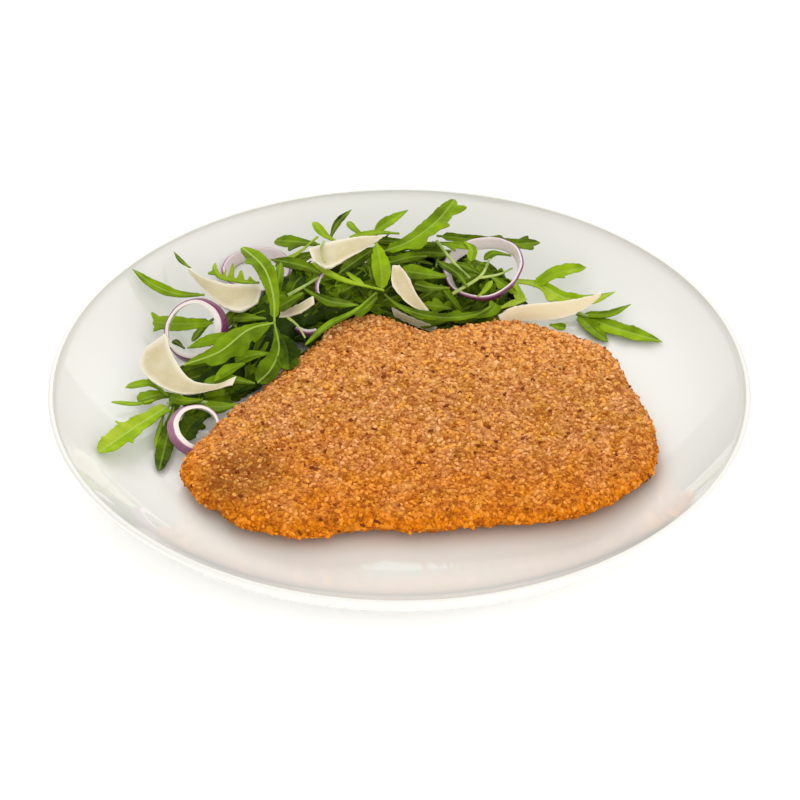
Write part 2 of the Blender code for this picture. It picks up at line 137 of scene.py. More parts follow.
# Rocket leaves that show on top of the heap: route from root to tip, half width, tone, which is lower for
# leaves that lie under others as painted shade, side lobes, form and how plainly the rib shows.
# A lobe is its place along the leaf, its side (1 is the right hand, going to the tip), reach and half length.
LEAVES = (
    (((-88, 5, 11), (-101, -17, 16), (-113.5, -34, 17)), 4.4, 0.85,
        ((0.6, -1, 5.6, 2.4), (0.5, 1, 5.6, 2.0)), BROAD, 1.0),
    (((-85, 8, 12), (-94, 7, 13), (-101, 2, 14)), 3.0, 0.45),
    (((-95, 4, 13), (-102, 0, 14), (-111, -2, 16.5)), 0.9, 0.75),
    (((-90, 6, 14), (-97, 12, 15), (-106, 7, 17)), 1.7, 0.65, ((0.42, 1, 3.4, 1.8),)),
    (((-87, 3, 12), (-88.5, -13, 11), (-91, -36, 9.5)), 3.3, 0.15),
    (((-91, -4, 12), (-92, -12, 11), (-93, -23, 10.5)), 1.2, 0.6),
    (((-78, 67, 19), (-89, 66, 20), (-99, 70, 22), (-107, 75, 26)), 2.3, 0.62, (), LANCE, 0.5),
    (((-74, 51, 16.5), (-85, 50, 16.5), (-98, 50.5, 17)), 3.5, 0.62,
        ((0.9, 1, 4.4, 1.8), (0.84, -1, 4.2, 1.8)), BROAD),
    (((-84, 77, 25), (-88, 82, 25), (-91, 87, 26)), 0.9, 0.35, (), LANCE),
    (((-56, 68, 24), (-62, 68.5, 24), (-68, 69.5, 24.5), (-72, 71, 25), (-74, 75, 25.5), (-74, 79, 26)),
        1.1, 0.78, ((0.12, 1, 2.4, 1.0), (0.25, 1, 5.2, 1.2), (0.38, 1, 7.0, 1.2), (0.5, 1, 4.2, 0.9),
        (0.72, -1, 3.4, 1.2)), FEATHER),
    (((-49, 36, 27), (-49.5, 42, 36), (-53.5, 53, 42), (-63, 74, 37.5)), 3.7, 0.48, ((0.74, -1, 4.4, 2.4),),
        (0.45, 0.6, 0.6, 0.85), 1.0),
    (((-49, 42, 29), (-48, 47, 36), (-47, 62, 38)), 2.0, 0.35),
    (((-49, 35, 28), (-59, 28.5, 29), (-70, 18, 26), (-84, 15.5, 21.5)), 3.3, 0.46,
        ((0.22, -1, 6.6, 7.0), (0.44, -1, 7.4, 7.0), (0.66, -1, 5.6, 6.0), (0.5, 1, 4.4, 7.0)),
        (0.3, 0.5, 0.8, 0.6), 1.0),
    (((-60, 27, 28.5), (-72, 26.5, 26), (-83, 26, 22)), 2.5, 0.52, (), LANCE, 0.1),
    (((-49, 35, 28), (-47, 24, 23), (-50, 16, 19), (-55, 10, 17)), 3.6, 0.2,
        ((0.5, 1, 5.4, 11.0),), STRAP, 0.7),
    (((-49, 31, 26.5), (-44.5, 27, 23), (-43, 16.5, 19)), 4.4, 0.16, (), STRAP, 0.1),
    (((-73, 56, 16), (-78, 48.5, 15.5), (-82, 41, 14.5)), 1.5, 0.25),
    (((-84.5, 34, 16), (-87, 36.5, 16.5), (-89.5, 39.5, 16)), 1.3, 0.12),
    (((-52.5, 39.6, 26.5), (-59, 42, 25), (-66, 46, 22)), 2.2, 0.4),
    (((-55, 40, 24), (-63, 36, 21), (-70, 33, 18)), 2.6, 0.15),
    (((-60, 52, 25), (-66, 49, 22), (-70, 42, 19)), 2.2, 0.22),
    (((-32, 85, 31), (-41, 86, 31.5), (-50.5, 93, 27.5)), 3.0, 0.35, ((0.45, -1, 4.4, 2.6),)),
    (((-32.7, 84, 35.5), (-42, 78.5, 30), (-49, 78, 27.5)), 1.0, 0.9),
    (((-25, 84, 33), (-30, 86, 35), (-35, 94, 36)), 1.8, 0.85),
    (((-28, 86, 33), (-25, 93, 36), (-19.5, 100, 38)), 1.5, 0.2, (), LANCE),
    (((-14, 85, 35), (-18, 87, 37), (-21, 91, 38)), 1.5, 0.8),
    (((-11, 82, 37), (-6.5, 87, 39), (3.5, 98.5, 39)), 2.4, 0.62, (), LANCE),
    (((-6, 54, 30), (-23, 56, 34), (-35, 66, 35)), 1.3, 0.78),
    (((-31, 61, 33.5), (-40, 65.5, 34.3), (-51.5, 71, 33.3)), 2.8, 0.25, (), LANCE),
    (((-7, 54, 29.5), (-7.2, 58, 37), (-9.3, 70, 43)), 3.8, 0.66, (), (0.6, 0.3, 0.95, 0.85)),
    (((-9, 54, 29), (-18, 45, 26), (-28, 40, 23), (-37, 31, 20)), 1.4, 0.5),
    (((-38, 54, 31), (-28, 48, 29), (-16, 48, 27)), 2.2, 0.35, (), LANCE),
    (((-38, 51, 31), (-43, 47, 30), (-48, 45, 28)), 3.0, 0.3),
    (((-62, 0, 14), (-68, -3, 15), (-75, -3, 15)), 2.6, 0.42),
    (((-72, -2, 12.5), (-79, -9, 12), (-83, -17, 10.5)), 4.6, 0.06, (), STRAP, 0.05),
    (((-76, 3, 14), (-83, 2, 14), (-89, 6, 13)), 2.4, 0.5),
    (((-66, 29, 15.5), (-75, 25, 15), (-86, 22, 13)), 3.6, 0.1, (), STRAP, 0.05),
    (((-66, 22, 15.5), (-74, 19, 15), (-83, 17, 13.5)), 2.8, 0.24),
    (((-56, 7, 19), (-65, 9, 19), (-76, 8, 18)), 2.6, 0.3),
    (((-7, 71, 37), (4, 74, 40), (15, 87, 41), (22.5, 103, 41)), 3.9, 0.5,
        ((0.83, 1, 6.4, 3.2), (0.6, 1, 5.0, 2.0), (0.32, 1, 5.2, 5.0)), BROAD, 0.5),
    (((15, 91, 31.3), (30, 91, 29.3), (45, 91.5, 26.9), (57, 93, 26.6)), 2.3, 0.36,
        ((0.8, 1, 3.8, 4.0), (0.78, -1, 3.3, 3.0), (0.5, -1, 3.2, 3.0)), (0.8, 0.62, 0.62, 0.85)),
    (((17, 84, 31), (2, 84, 32.5), (-12, 83.5, 34), (-27, 82, 33)), 1.8, 0.38, (), (0.7, 0.6, 0.6, 0.85)),
    (((-25, 82, 31), (-38, 80, 28.5), (-50, 77, 26)), 2.2, 0.25, ((0.5, -1, 3.6, 3.0),)),
    (((27, 56, 30), (23, 61, 33), (15, 70, 33)), 1.9, 0.22),
    (((33, 66, 29), (26, 66, 33), (20, 67, 34)), 1.6, 0.34, (), LANCE),
    (((36, 70, 26), (40, 64, 27), (47, 60, 24)), 1.7, 0.45, ((0.5, 1, 3.0, 1.8),)),
    (((13, 83, 33.5), (22, 81, 33.5), (31, 82, 31.5)), 1.7, 0.5, ((0.4, 1, 3.6, 1.8),)),
    (((11, 70, 35.5), (4, 69, 35.5), (-6, 65, 35)), 2.4, 0.3, (), LANCE),
    (((19, 61, 32), (11, 61, 33), (1, 62, 34)), 3.4, 0.42),
    (((20, 57, 29), (12, 56, 30), (6, 57, 31)), 2.6, 0.2),
    (((45, 83, 27), (38, 83, 28), (34, 80, 27)), 1.5, 0.4, ((0.5, -1, 3.2, 1.6),)),
    (((31, 58, 24), (34, 60, 26), (37, 65, 27)), 1.2, 0.9),
    (((26, 83, 34), (29, 77, 34), (28.5, 71, 32.5)), 1.9, 0.6),
    (((-6, 56, 27), (0, 51, 24.5), (9, 48, 22.5), (20, 48, 21), (31, 51.5, 20.5), (38, 56, 22.5)), 1.9, 0.3,
        ((0.35, 1, 2.8, 3.0), (0.62, -1, 2.8, 3.0)), LANCE),
    (((30, 52, 18.5), (35.5, 53, 20), (38.5, 56, 22)), 3.0, 0.45),
    (((44, 80, 17), (56, 77.5, 16.6), (66, 70, 15.4), (76.5, 67.5, 16), (86.5, 69.5, 18.6)), 3.0, 0.82,
        ((0.36, 1, 4.8, 3.4),), LANCE, 0.9),
    (((54, 76.5, 16.5), (63.5, 82.5, 19), (75.5, 86, 19.5)), 2.8, 0.76, ((0.42, 1, 3.9, 2.0),),
        (0.85, 0.55, 0.8, 0.85)),
    (((47, 80, 17), (47.5, 74, 16), (49, 67, 15)), 2.1, 0.85),
    (((38, 54, 20.5), (44, 58, 20.5), (51, 64, 19)), 1.3, 1.0),
    (((71, 67, 9.5), (86, 55, 11), (104, 43, 13)), 3.3, 0.58, ((0.3, 1, 4.6, 3.6),),
        (0.8, 0.5, 0.95, 0.85), 0.6),
    (((74, 65, 10.5), (84, 62, 13), (92.5, 63, 17)), 1.7, 0.6, (), (0.9, 0.3, 0.95, 0.85)),
    (((71.5, 66, 10), (76.5, 57, 10), (83, 48.5, 9)), 2.6, 0.56, ((0.35, -1, 3.9, 2.6),),
        (0.85, 0.5, 0.95, 0.85)),
    (((60, 59, 10), (63, 57, 10.5), (66, 55, 11)), 1.9, 0.6),
    (((19, 53, 16), (14, 53, 15), (8, 53, 14)), 2.2, 0.35),
    (((0, 84, 37), (-9, 83, 38), (-20, 80, 38)), 1.3, 0.7),
    (((-8, 73, 38.5), (-16, 66, 37), (-24, 58, 35.5)), 2.8, 0.22, (), LANCE),
    (((-23, 62, 35.5), (-19, 58, 34), (-14, 55, 32)), 1.1, 0.85),
    (((-9, 53, 27), (-13, 48, 26), (-18, 46, 24)), 2.4, 0.4),
    (((-40, 32.5, 15), (-48, 25, 14), (-57, 16.5, 13), (-66, 9.5, 12)), 2.8, 0.1, (), STRAP, 0.05),
    (((-50, 24, 21), (-57, 20, 23), (-64, 18, 21)), 2.6, 0.55),
    (((-60, 16, 22), (-66, 13, 21), (-72, 8, 19)), 2.4, 0.5, (), LANCE),
    (((-4, 70, 33), (8, 76, 33), (20, 77, 32)), 2.4, 0.3, ((0.4, -1, 4.0, 2.4),)),
)

# Bare stalks: route and thickness, in millimetres
BARE_STALKS = (
    (((-44, 49, 31), (-38, 52, 33), (-32, 57, 34)), 1.5),
    (((15, 79, 36.5), (21, 68, 34.5), (28, 61, 31)), 1.4),
    (((21, 55, 27.5), (32, 62, 31), (36, 74, 31)), 1.5),
    (((31, 61, 31), (39, 64, 30.5), (45, 70, 29.5)), 1.2),
    (((-44, 41, 26), (-40, 38, 24), (-37, 34, 21)), 1.2),
    (((-30, 70, 42.6), (-31, 65.5, 42), (-29.5, 59, 40)), 1.0),
    (((66, 72, 14), (72, 66, 10.8), (76, 63, 11)), 1.8),
    (((-70, 2, 12), (-80, 4, 12.5), (-90, 4, 11.5)), 1.8),
)

# Red onion rings: centre, way the axis points, outer radius, how oval, first and last angle, height of the
# slice, how much narrower its near rim is than its far one, thickness of the layer, how much thicker it is at
# its thick side, where that side is in degrees, depth of the purple skin and how deep its purple is
ONION_RINGS = {
    "ring_left": (
        (-80.3, 39.5, 21), (-0.3, -0.67, 0.68), 13.4, 0.98, 0, 360, 4.6, 1.2, 1.5, 1.9, 0, 0.35, 1.0),
    "ring_back": (
        (-58, 88, 15), (0.0, -0.14, 0.99), 14.2, 0.97, 0, 360, 4.4, -2.4, 1.4, 0, 0, 0.9, 0.5),
    "ring_right": (
        (34, 73.5, 26.4), (-0.2, -0.23, 0.95), 17.0, 0.95, 0, 360, 4.4, -2.2, 1.4, 0, 0, 0.7, 0.8),
    "ring_front": (
        (-78, -16, 13.8), (0.3, -0.5, 0.81), 10.8, 0.98, 0, 360, 4.4, 1.3, 1.3, 1.4, 180, 0.25, 0.12),
    "arc_middle": (
        (-19, 56, 30), (-0.07, -0.45, 0.89), 14.4, 0.95, 70, 215, 1.8, 0.2, 1.5, 0, 0, 0.8, 0.7),
    "strip_low": (
        (-36, 49.5, 21.5), (0.0, -0.6, 0.8), 9.0, 1.0, 215, 300, 3.0, 0.6, 2.0, 0, 0, 0.8, 0.6),
}

# Cheese shavings: the two long edges of each curled slice, from one end to the other
SHAVINGS = {
    "shaving_left": (
        ((-91, 30, 26), (-88, 21, 22.5), (-81, 9, 19.5), (-72, 5, 19.8), (-63, 7, 22)),
        ((-99.5, 28, 20), (-101, 19, 17), (-94, 8.5, 16.5), (-82, 3, 16.2), (-64.5, 4.5, 19.5))),
    "shaving_back": (
        ((-84.5, 72.5, 28), (-76, 63, 29), (-66, 58, 30), (-57, 56.5, 31), (-54.6, 52.5, 30.5)),
        ((-83.5, 71, 26.5), (-76, 57, 26), (-70, 48, 26), (-63, 43, 27), (-55.8, 47, 28.5))),
    "shaving_top": (
        ((-36, 68, 40), (-28, 70, 42), (-17, 72.5, 43), (-6, 75, 42)),
        ((-34, 62, 38), (-28, 58, 37.5), (-18, 65, 39), (-9, 73, 40.5))),
    "shaving_middle": (
        ((0, 60, 38), (4, 57, 34), (7, 54, 28), (12, 50.5, 22)),
        ((-3, 60, 37.5), (-3, 54.5, 32), (3, 52, 25), (11, 50, 21.3))),
    "shaving_right": (
        ((39, 54, 18), (45, 57, 20), (53, 58, 20.6), (66, 62.5, 19.2), (75, 67, 18), (81, 69.5, 18)),
        ((40, 53, 16), (45, 54.5, 14.5), (53, 55.5, 14), (66, 58.5, 13.5), (75, 64, 14.5), (80, 68.5, 16.5))),
    "shaving_small": (
        ((-49, 49.6, 22.5), (-42, 48.4, 26), (-34, 48.6, 31)),
        ((-48, 45.4, 22.3), (-40, 44.8, 24.8), (-33.5, 46.4, 28.3))),
    "shaving_low": (
        ((-3, 57.5, 19.5), (5, 54.5, 16.5), (15, 51.5, 14)),
        ((-2, 57, 15.5), (6, 53, 13.5), (14, 51.5, 11))),
}

Length = partial(bpy.props.FloatProperty, unit="LENGTH")
Colour = partial(bpy.props.FloatVectorProperty, subtype="COLOR")
Count = bpy.props.IntProperty


class PlateSettings(bpy.types.PropertyGroup):
    rim_radius: Length(name="Rim radius", description="Outer radius of the plate", default=PLATE_TOP.x)
    rim_height: Length(name="Rim height", description="Height of the rim over the table", default=PLATE_TOP.z)
    flat_radius: Length(name="Flat radius", description="Radius of the flat middle", default=0.088)
    floor_height: Length(name="Floor height", description="Height of the upper face", default=FLOOR * MM)
    turns: Count(name="Steps round", description="Steps of the turned profile", default=192)
    glaze: Colour(name="Glaze", description="Colour of the glaze", default=(0.706, 0.706, 0.682))


class CrustSettings(bpy.types.PropertyGroup):
    voxel: Length(name="Mesh size", description="Size of the crust's mesh", default=0.0008)
    crumb_spacing: Length(name="Crumb spacing", description="Least distance between crumbs", default=0.00185)
    crumb_size: Length(name="Crumb size", description="Mean radius of a crumb", default=0.00098)
    golden: Colour(name="Golden", description="Colour of the fried top", default=(0.562, 0.252, 0.042))
    toasted: Colour(name="Toasted", description="Colour of the fried edge", default=(0.695, 0.204, 0.004))


class SaladSettings(bpy.types.PropertyGroup):
    leaf_thickness: Length(name="Leaf thickness", description="Thickness of a rocket leaf", default=0.0004)
    small_leaves: Count(name="Small leaves", description="Leaves strewn over the heap", default=200)
    back_leaves: Count(name="Back leaves", description="Small leaves added over the heap's back", default=80)
    shaving_thickness: Length(name="Shaving thickness", description="Thickness of the cheese", default=0.0011)


class StageSettings(bpy.types.PropertyGroup):
    distance: Length(name="Camera distance", description="From the camera to the plate", default=1.40)
    elevation: bpy.props.FloatProperty(
        name="Elevation", description="The camera's tilt", default=math.radians(36.446), subtype="ANGLE"
    )
    lens: bpy.props.FloatProperty(name="Lens", description="Focal length in millimetres", default=162.13)
    aim: bpy.props.FloatVectorProperty(
        name="Aim", description="Point that the camera looks at", default=(0.000225, 0.007936, 0.010)
    )
    sky: bpy.props.FloatProperty(name="Room light", description="Brightness of the room", default=1.03)
    panel: bpy.props.FloatProperty(name="Panel light", description="Power of the panel overhead", default=1.7)


# ---- nodes as Python


def maths(operation, swapped=False):
    """A method that adds a Math node to its wire, with the wire last where it is swapped."""

    def method(wire, *others):
        values = (*others, wire) if swapped else (wire, *others)
        return wire.nodes.node("ShaderNodeMath", {"operation": operation}, *values)

    return method


class Wire:
    """An output socket of a node, so that maths on it is written as Python."""

    __add__, __radd__ = maths("ADD"), maths("ADD", True)
    __sub__, __rsub__ = maths("SUBTRACT"), maths("SUBTRACT", True)
    __mul__, __rmul__ = maths("MULTIPLY"), maths("MULTIPLY", True)
    __abs__, sine, at_least = maths("ABSOLUTE"), maths("SINE"), maths("MAXIMUM")
    fraction = maths("FRACT")

    def __init__(self, nodes, socket):
        self.nodes, self.socket = nodes, socket

    def step(self, low, high):
        """0 below low, 1 above high, smooth between them. High may be the smaller."""
        settings = {"interpolation_type": "SMOOTHSTEP"}
        return self.nodes.node("ShaderNodeMapRange", settings, self, low, high, 0.0, 1.0)

    def beside(self, name):
        """Another output of the same node."""
        return Wire(self.nodes, self.socket.node.outputs[name])


class Nodes:
    """A tree of nodes that is written as calls."""

    def __init__(self, tree):
        self.tree = tree

    def feed(self, socket, value):
        if isinstance(value, Wire):
            self.tree.links.new(value.socket, socket)
        elif socket.type == "RGBA" and len(value) == 3:
            socket.default_value = (*value, 1.0)
        else:
            socket.default_value = value

    def node(self, kind, settings=None, *values, out=0, **named):
        """Adds a node: its settings first, then the values or links of its sockets."""
        made = self.tree.nodes.new(kind)
        for name, value in (settings or {}).items():
            if name == "stops":
                ramp = made.color_ramp.elements
                while len(ramp) < len(value):
                    ramp.new(0.5)
                for element, (place, shade) in zip(ramp, value):
                    element.position, element.color = place, (*shade, 1.0)
            else:
                setattr(made, name, value)
        sockets = [s for s in made.inputs if s.enabled]
        for socket, value in zip(sockets, values):
            self.feed(socket, value)
        for name, value in named.items():
            self.feed(next(s for s in sockets if s.name == name.replace("_", " ")), value)
        return Wire(self, next((s for s in made.outputs if s.enabled and out in (0, s.name)), None))

    def split(self, vector, axis):
        return self.node("ShaderNodeSeparateXYZ", None, vector, out=axis)

    def mix(self, factor, a, b):
        return self.node("ShaderNodeMix", {"data_type": "RGBA"}, factor, a, b)

    def ramp(self, factor, *stops):
        return self.node("ShaderNodeValToRGB", {"stops": stops}, factor)


class Finish(Nodes):
    """A material built round one Principled shader."""

    def __init__(self, name, **plain):
        self.material = bpy.data.materials.new(name)
        self.material.use_nodes = True
        super().__init__(self.material.node_tree)
        self.shader = self.tree.nodes["Principled BSDF"].inputs
        for socket, value in plain.items():
            self.shader[socket.replace("_", " ").title().replace("Ior", "IOR")].default_value = value

    def place(self):
        return self.node("ShaderNodeTexCoord", out="Object")

    def attribute(self, name):
        return self.node("ShaderNodeAttribute", {"attribute_name": name}, out="Fac")

    def grain(self, size, detail=2.0, rough=0.5):
        """Noise whose grains are about that size, in metres."""
        sizes = {"Scale": 1.0 / size, "Detail": detail, "Roughness": rough}
        return self.node("ShaderNodeTexNoise", out="Fac", Vector=self.place(), **sizes)

    def cells(self, size, out="Color"):
        return self.node("ShaderNodeTexVoronoi", out=out, Vector=self.place(), Scale=1.0 / size)

    def finished(self, shade, rough, height, depth, strength):
        bump = self.node("ShaderNodeBump", Strength=strength, Distance=depth, Height=height)
        for socket, value in (("Base Color", shade), ("Roughness", rough), ("Normal", bump)):
            self.feed(self.shader[socket], value)
        return self.material


# ---- finishes


def glaze_finish(glaze):
    """White porcelain glaze: barely uneven in tone, with faint waves and a few dull hairline patches."""
    f = Finish("white glaze", coat_weight=0.6, coat_roughness=0.04)
    warm = [part * share for part, share in zip(glaze, (1.0, 0.985, 0.955))]
    shade = f.mix(f.grain(0.055), glaze, warm)
    shade = f.mix(f.grain(0.0007, 1.0).step(0.70, 0.80) * 0.06, shade, (0.62, 0.60, 0.55))
    return f.finished(shade, 0.03 + 0.04 * f.grain(0.02, 3.0), f.grain(0.03, 1.0), 0.00012, 0.4)


def fried_colour(f, golden, toasted, tone):
    """Colour of the crust: golden on top, toasted at the edge, each crumb its own tone, with painted light on
    the near side and the back, and painted shade at the left end.
    """
    x, y, z = (f.split(f.place(), axis) for axis in "XYZ")
    # edge is the crust's low rim; near, the side towards the camera, and left, the left end, carry painted
    # light and painted shade
    edge, left, near = z.step(0.0195, 0.0130), x.step(-0.030, -0.075), y.step(0.012, -0.078)
    patch, fleck, blush = f.grain(0.014, 3.0, 0.6), f.grain(0.0009, 2.0, 0.6), f.grain(0.010)
    hue = 0.5 * (tone * 7.0).fraction() + 0.5 * f.grain(0.0028, 2.0, 0.6)
    # Real toasting at the low edge, plus painted light that makes the near side more orange and painted shade
    # that makes the left end less so
    fried = edge * (0.30 + 0.45 * near) + near * 0.68 - left * 0.12 + (patch - 0.5)
    fried = fried.step(0.05, 1.0)
    ground = f.mix(blush.step(0.36, 0.62) * 0.9, golden, (0.610, 0.272, 0.098))
    # Painted light: the back part of the crust, by the salad, is made paler and yellower
    ground = f.mix(y.step(-0.015, 0.045) * 0.7, ground, (0.76, 0.345, 0.098))
    base = f.mix(fried, ground, toasted)
    # Painted light: a bright orange where the low edge meets the near side, less of it at the left end as
    # painted shade
    base = f.mix(edge * near * (0.70 - 0.40 * left), base, (0.93, 0.272, 0.004))
    burnt = f.node("ShaderNodeVectorMath", {"operation": "DISTANCE"}, f.place(), (-0.060, -0.050, 0.018))
    base = f.mix(burnt.step(0.026, 0.006) * (patch * 1.7), base, (0.290, 0.110, 0.020))
    mixed = tone * 0.62 + fleck.step(0.25, 0.75) * 0.38
    crisp = f.mix(hue.step(0.38, 0.60), (0.96, 0.44, 0.068), (0.88, 0.51, 0.24))
    crisp = f.mix(fried * 0.8, crisp, (0.96, 0.42, 0.050))
    pale = f.mix(mixed.step(0.46, 0.90) * (0.95 - 0.35 * fried), base, crisp)
    rust = f.mix(mixed.step(0.52, 0.16) * 0.94, pale, (0.30, 0.064, 0.004))
    return f.mix(tone.step(0.048, 0.014) * 0.94, rust, (0.12, 0.018, 0.006))


def crust_finish(golden, toasted):
    """The egg and crumb skin between the larger crumbs, with painted shade in its pits."""
    f = Finish("fried crust", specular_ior_level=0.12, specular_tint=(1.0, 0.80, 0.45, 1.0))
    tone = 0.75 * f.split(f.cells(PIT), "X") + 0.25 * f.grain(0.0006)
    shade = fried_colour(f, golden, toasted, tone * 0.85)
    # Painted shade: darker red-brown towards the edges of the pit cells, for the shade in the pits
    shade = f.mix(f.cells(PIT, "Distance").step(0.35, 0.75) * 0.45, shade, (0.24, 0.055, 0.006))
    return f.finished(shade, 0.50 + 0.25 * f.grain(0.001), f.grain(0.0005, 4.0, 0.7), 0.0004, 0.8)


def crumb_finish(golden, toasted):
    """Fried breadcrumbs: matt, with a little oil, every crumb in a shade of its own."""
    f = Finish("fried crumbs", specular_ior_level=0.14, specular_tint=(1.0, 0.80, 0.45, 1.0))
    shade = fried_colour(f, golden, toasted, f.attribute("tone"))
    mottle = f.grain(0.00045)
    shade = f.mix(mottle.step(0.35, 0.7) * 0.22, shade, (0.46, 0.130, 0.014))
    return f.finished(shade, 0.42 + 0.35 * mottle, mottle, 0.00015, 0.7)


def leaf_finish():
    """Rocket: a pale rib, fine slanting veins, and blades mottled from deep to yellowish green, with painted
    light on one half of each blade, painted sheen patches, and painted shade in the tones of leaves deep in
    the heap.
    """
    f = Finish("rocket leaf", specular_ior_level=0.12, specular_tint=(0.80, 1.0, 0.32, 1.0))
    chart = f.node("ShaderNodeUVMap", {"uv_map": "UVMap"})
    along, across = f.split(chart, "X") * 100.0, (f.split(chart, "Y") - 0.5) * 100.0
    out = abs(across)
    # The leaf's tone, low as painted shade for leaves that lie under others, mottled at random
    fresh = f.attribute("tone") + (f.grain(0.0075, 3.0) - 0.5) * 0.90
    shade = f.ramp(
        # Painted light: the right hand half of each blade is a little lighter than the left, as light falls
        # on the folded blade
        fresh + (across.step(-0.3, 0.3) - 0.5) * 0.13,
        (0.0, (0.014, 0.031, 0.001)),
        (0.2, (0.056, 0.093, 0.002)),
        (0.4, (0.110, 0.183, 0.003)),
        (0.6, (0.166, 0.274, 0.005)),
        (0.8, (0.240, 0.372, 0.006)),
        (1.0, (0.360, 0.455, 0.036)),
    )
    # Painted sheen: patches of a duller grey-green where the blades catch the light
    shade = f.mix(f.grain(0.012).step(0.56, 0.70) * 0.25, shade, (0.150, 0.215, 0.035))
    stripe = abs(((along - 0.9 * out) * 1.35).sine())
    vein = stripe.step(0.16, 0.02) * out.step(4.5, 1.0) * 0.22
    shade = f.mix(vein, shade, (0.27, 0.38, 0.03))
    rib = out.step(0.55, 0.22) * f.attribute("rib")
    shade = f.mix(rib * 0.75, shade, (0.37, 0.49, 0.10))
    height = f.grain(0.0012) * 0.6 - vein * 2.0 + out.step(0.8, 0.3) * 0.8
    return f.finished(shade, 0.42 + 0.16 * f.grain(0.003), height, 0.00025, 0.7)


def stalk_finish():
    f = Finish("rocket stalk", specular_ior_level=0.5)
    fine = f.grain(0.0009)
    shade = f.mix(f.grain(0.009).step(0.35, 0.65), (0.15, 0.25, 0.02), (0.36, 0.45, 0.11))
    shade = f.mix(fine * 0.25, shade, (0.50, 0.58, 0.24))
    return f.finished(shade, 0.30 + 0.2 * fine, fine, 0.0002, 0.5)


def heart_shade_finish():
    """The crushed leaves deep inside the heap, coloured near-black as painted shade that fills the gaps
    between the leaves.
    """
    f = Finish("rocket heart shade", specular_ior_level=0.1)
    patch = f.grain(0.005, 3.0, 0.6)
    shade = f.ramp(
        0.6 * patch + 0.4 * f.split(f.cells(0.006), "X"),
        (0.25, (0.006, 0.014, 0.001)),
        (0.5, (0.022, 0.046, 0.002)),
        (0.8, (0.058, 0.100, 0.005)),
    )
    return f.finished(shade, 0.45 + 0.2 * patch, patch, 0.0012, 0.9)


def onion_finish():
    """Red onion: a thin purple skin on the outer face, then lilac, then wet white flesh with fine lines."""
    f = Finish("red onion", specular_ior_level=0.55, coat_weight=0.15, coat_roughness=0.15)
    streak, patch = f.grain(0.0016, 3.0, 0.6), f.grain(0.007)
    deep = f.grain(0.016, 1.0).step(0.30, 0.70) * 0.6 + f.attribute("purple") - 0.3
    skin = f.mix(deep.step(0.0, 1.0), (0.36, 0.150, 0.26), (0.13, 0.012, 0.080))
    edge = f.attribute("depth") + (streak - 0.5) * 0.3 + (patch - 0.5) * 0.3
    lilac, white, cream = (0.61, 0.44, 0.51), (0.73, 0.64, 0.63), (0.76, 0.70, 0.64)
    flesh = f.ramp(edge * 0.25, (0.25, lilac), (0.42, white), (1.0, cream))
    shade = f.mix(edge.step(0.65, 1.25), skin, flesh)
    return f.finished(shade, 0.20 + 0.18 * streak, streak, 0.0002, 0.6)


def cheese_finish():
    """Hard cheese: ivory, slightly mottled, with white crystals and paler, thinner edges, and painted light
    that makes the right-hand shaving paler.
    """
    f = Finish("hard cheese", specular_ior_level=0.25)
    cloud, speck = f.grain(0.008, 3.0), f.grain(0.0008)
    shade = f.mix(cloud.step(0.30, 0.70), (0.505, 0.430, 0.250), (0.565, 0.505, 0.335))
    # Painted light: shavings beyond 30 mm to the right are made paler, as the right shaving stands steeply
    # and gets less light
    shade = f.mix(f.split(f.place(), "X").step(0.030, 0.042), shade, (0.72, 0.62, 0.41))
    shade = f.mix(speck.step(0.62, 0.74) * 0.30, shade, (0.76, 0.71, 0.57))
    shade = f.mix(f.attribute("edge") * 0.75, shade, (0.78, 0.74, 0.62))
    return f.finished(shade, 0.42 + 0.2 * speck, speck + 0.8 * cloud, 0.0003, 0.6)


def table_finish():
    """The pale table top, a trace warmer in places."""
    f = Finish("pale table", emission_strength=0.22)
    cloud = f.grain(0.25)
    shade = f.mix(cloud, (0.93, 0.93, 0.93), (0.945, 0.94, 0.935))
    return f.finished(shade, 0.6 + 0.1 * cloud, f.grain(0.002), 0.0001, 0.1)


# ---- modelling helpers


# Edit steps and bevel settings that several pieces share
SELECT_ALL = (bpy.ops.mesh.select_all, {"action": "SELECT"})
SELECT_NONE = (bpy.ops.mesh.select_all, {"action": "DESELECT"})
OUTWARDS = (bpy.ops.mesh.normals_make_consistent, {"inside": False})
ROUNDED = {"segments": 2, "limit_method": "ANGLE", "angle_limit": math.radians(50)}


def spline(points, t):
    """A point of a Catmull-Rom curve through points, t running from 0 to 1."""
    last = len(points) - 1
    at = min(max(t, 0.0) * last, last - 1e-9)
    i, u = int(at), at - int(at)
    b, c = Vector(points[i]), Vector(points[i + 1])
    a = Vector(points[i - 1]) if i > 0 else 2 * b - c
    d = Vector(points[i + 2]) if i + 2 <= last else 2 * c - b
    square, cube = 2 * a - 5 * b + 4 * c - d, 3 * b - a - 3 * c + d
    return 0.5 * (2 * b + (c - a) * u + square * u**2 + cube * u**3)


def evenly(first, last, count):
    """Evenly spaced numbers from first to last."""
    return [first + (last - first) * i / (count - 1) for i in range(count)]


def smooth_step(t):
    t = min(1.0, max(0.0, t))
    return t * t * (3.0 - 2.0 * t)


def dish_height(radius):
    """Height of the plate's upper face in millimetres, at a distance from its axis."""
    size = bpy.context.scene.plate_settings
    flat, floor = size.flat_radius / MM, size.floor_height / MM
    out = max(0.0, radius - flat) / (size.rim_radius / MM - flat)
    return floor + (size.rim_height / MM - floor) * out**2.2


def clear_of_plate(point, gap=0.35):
    lowest = dish_height(math.hypot(point.x, point.y)) + gap
    return Vector((point.x, point.y, max(point.z, lowest)))


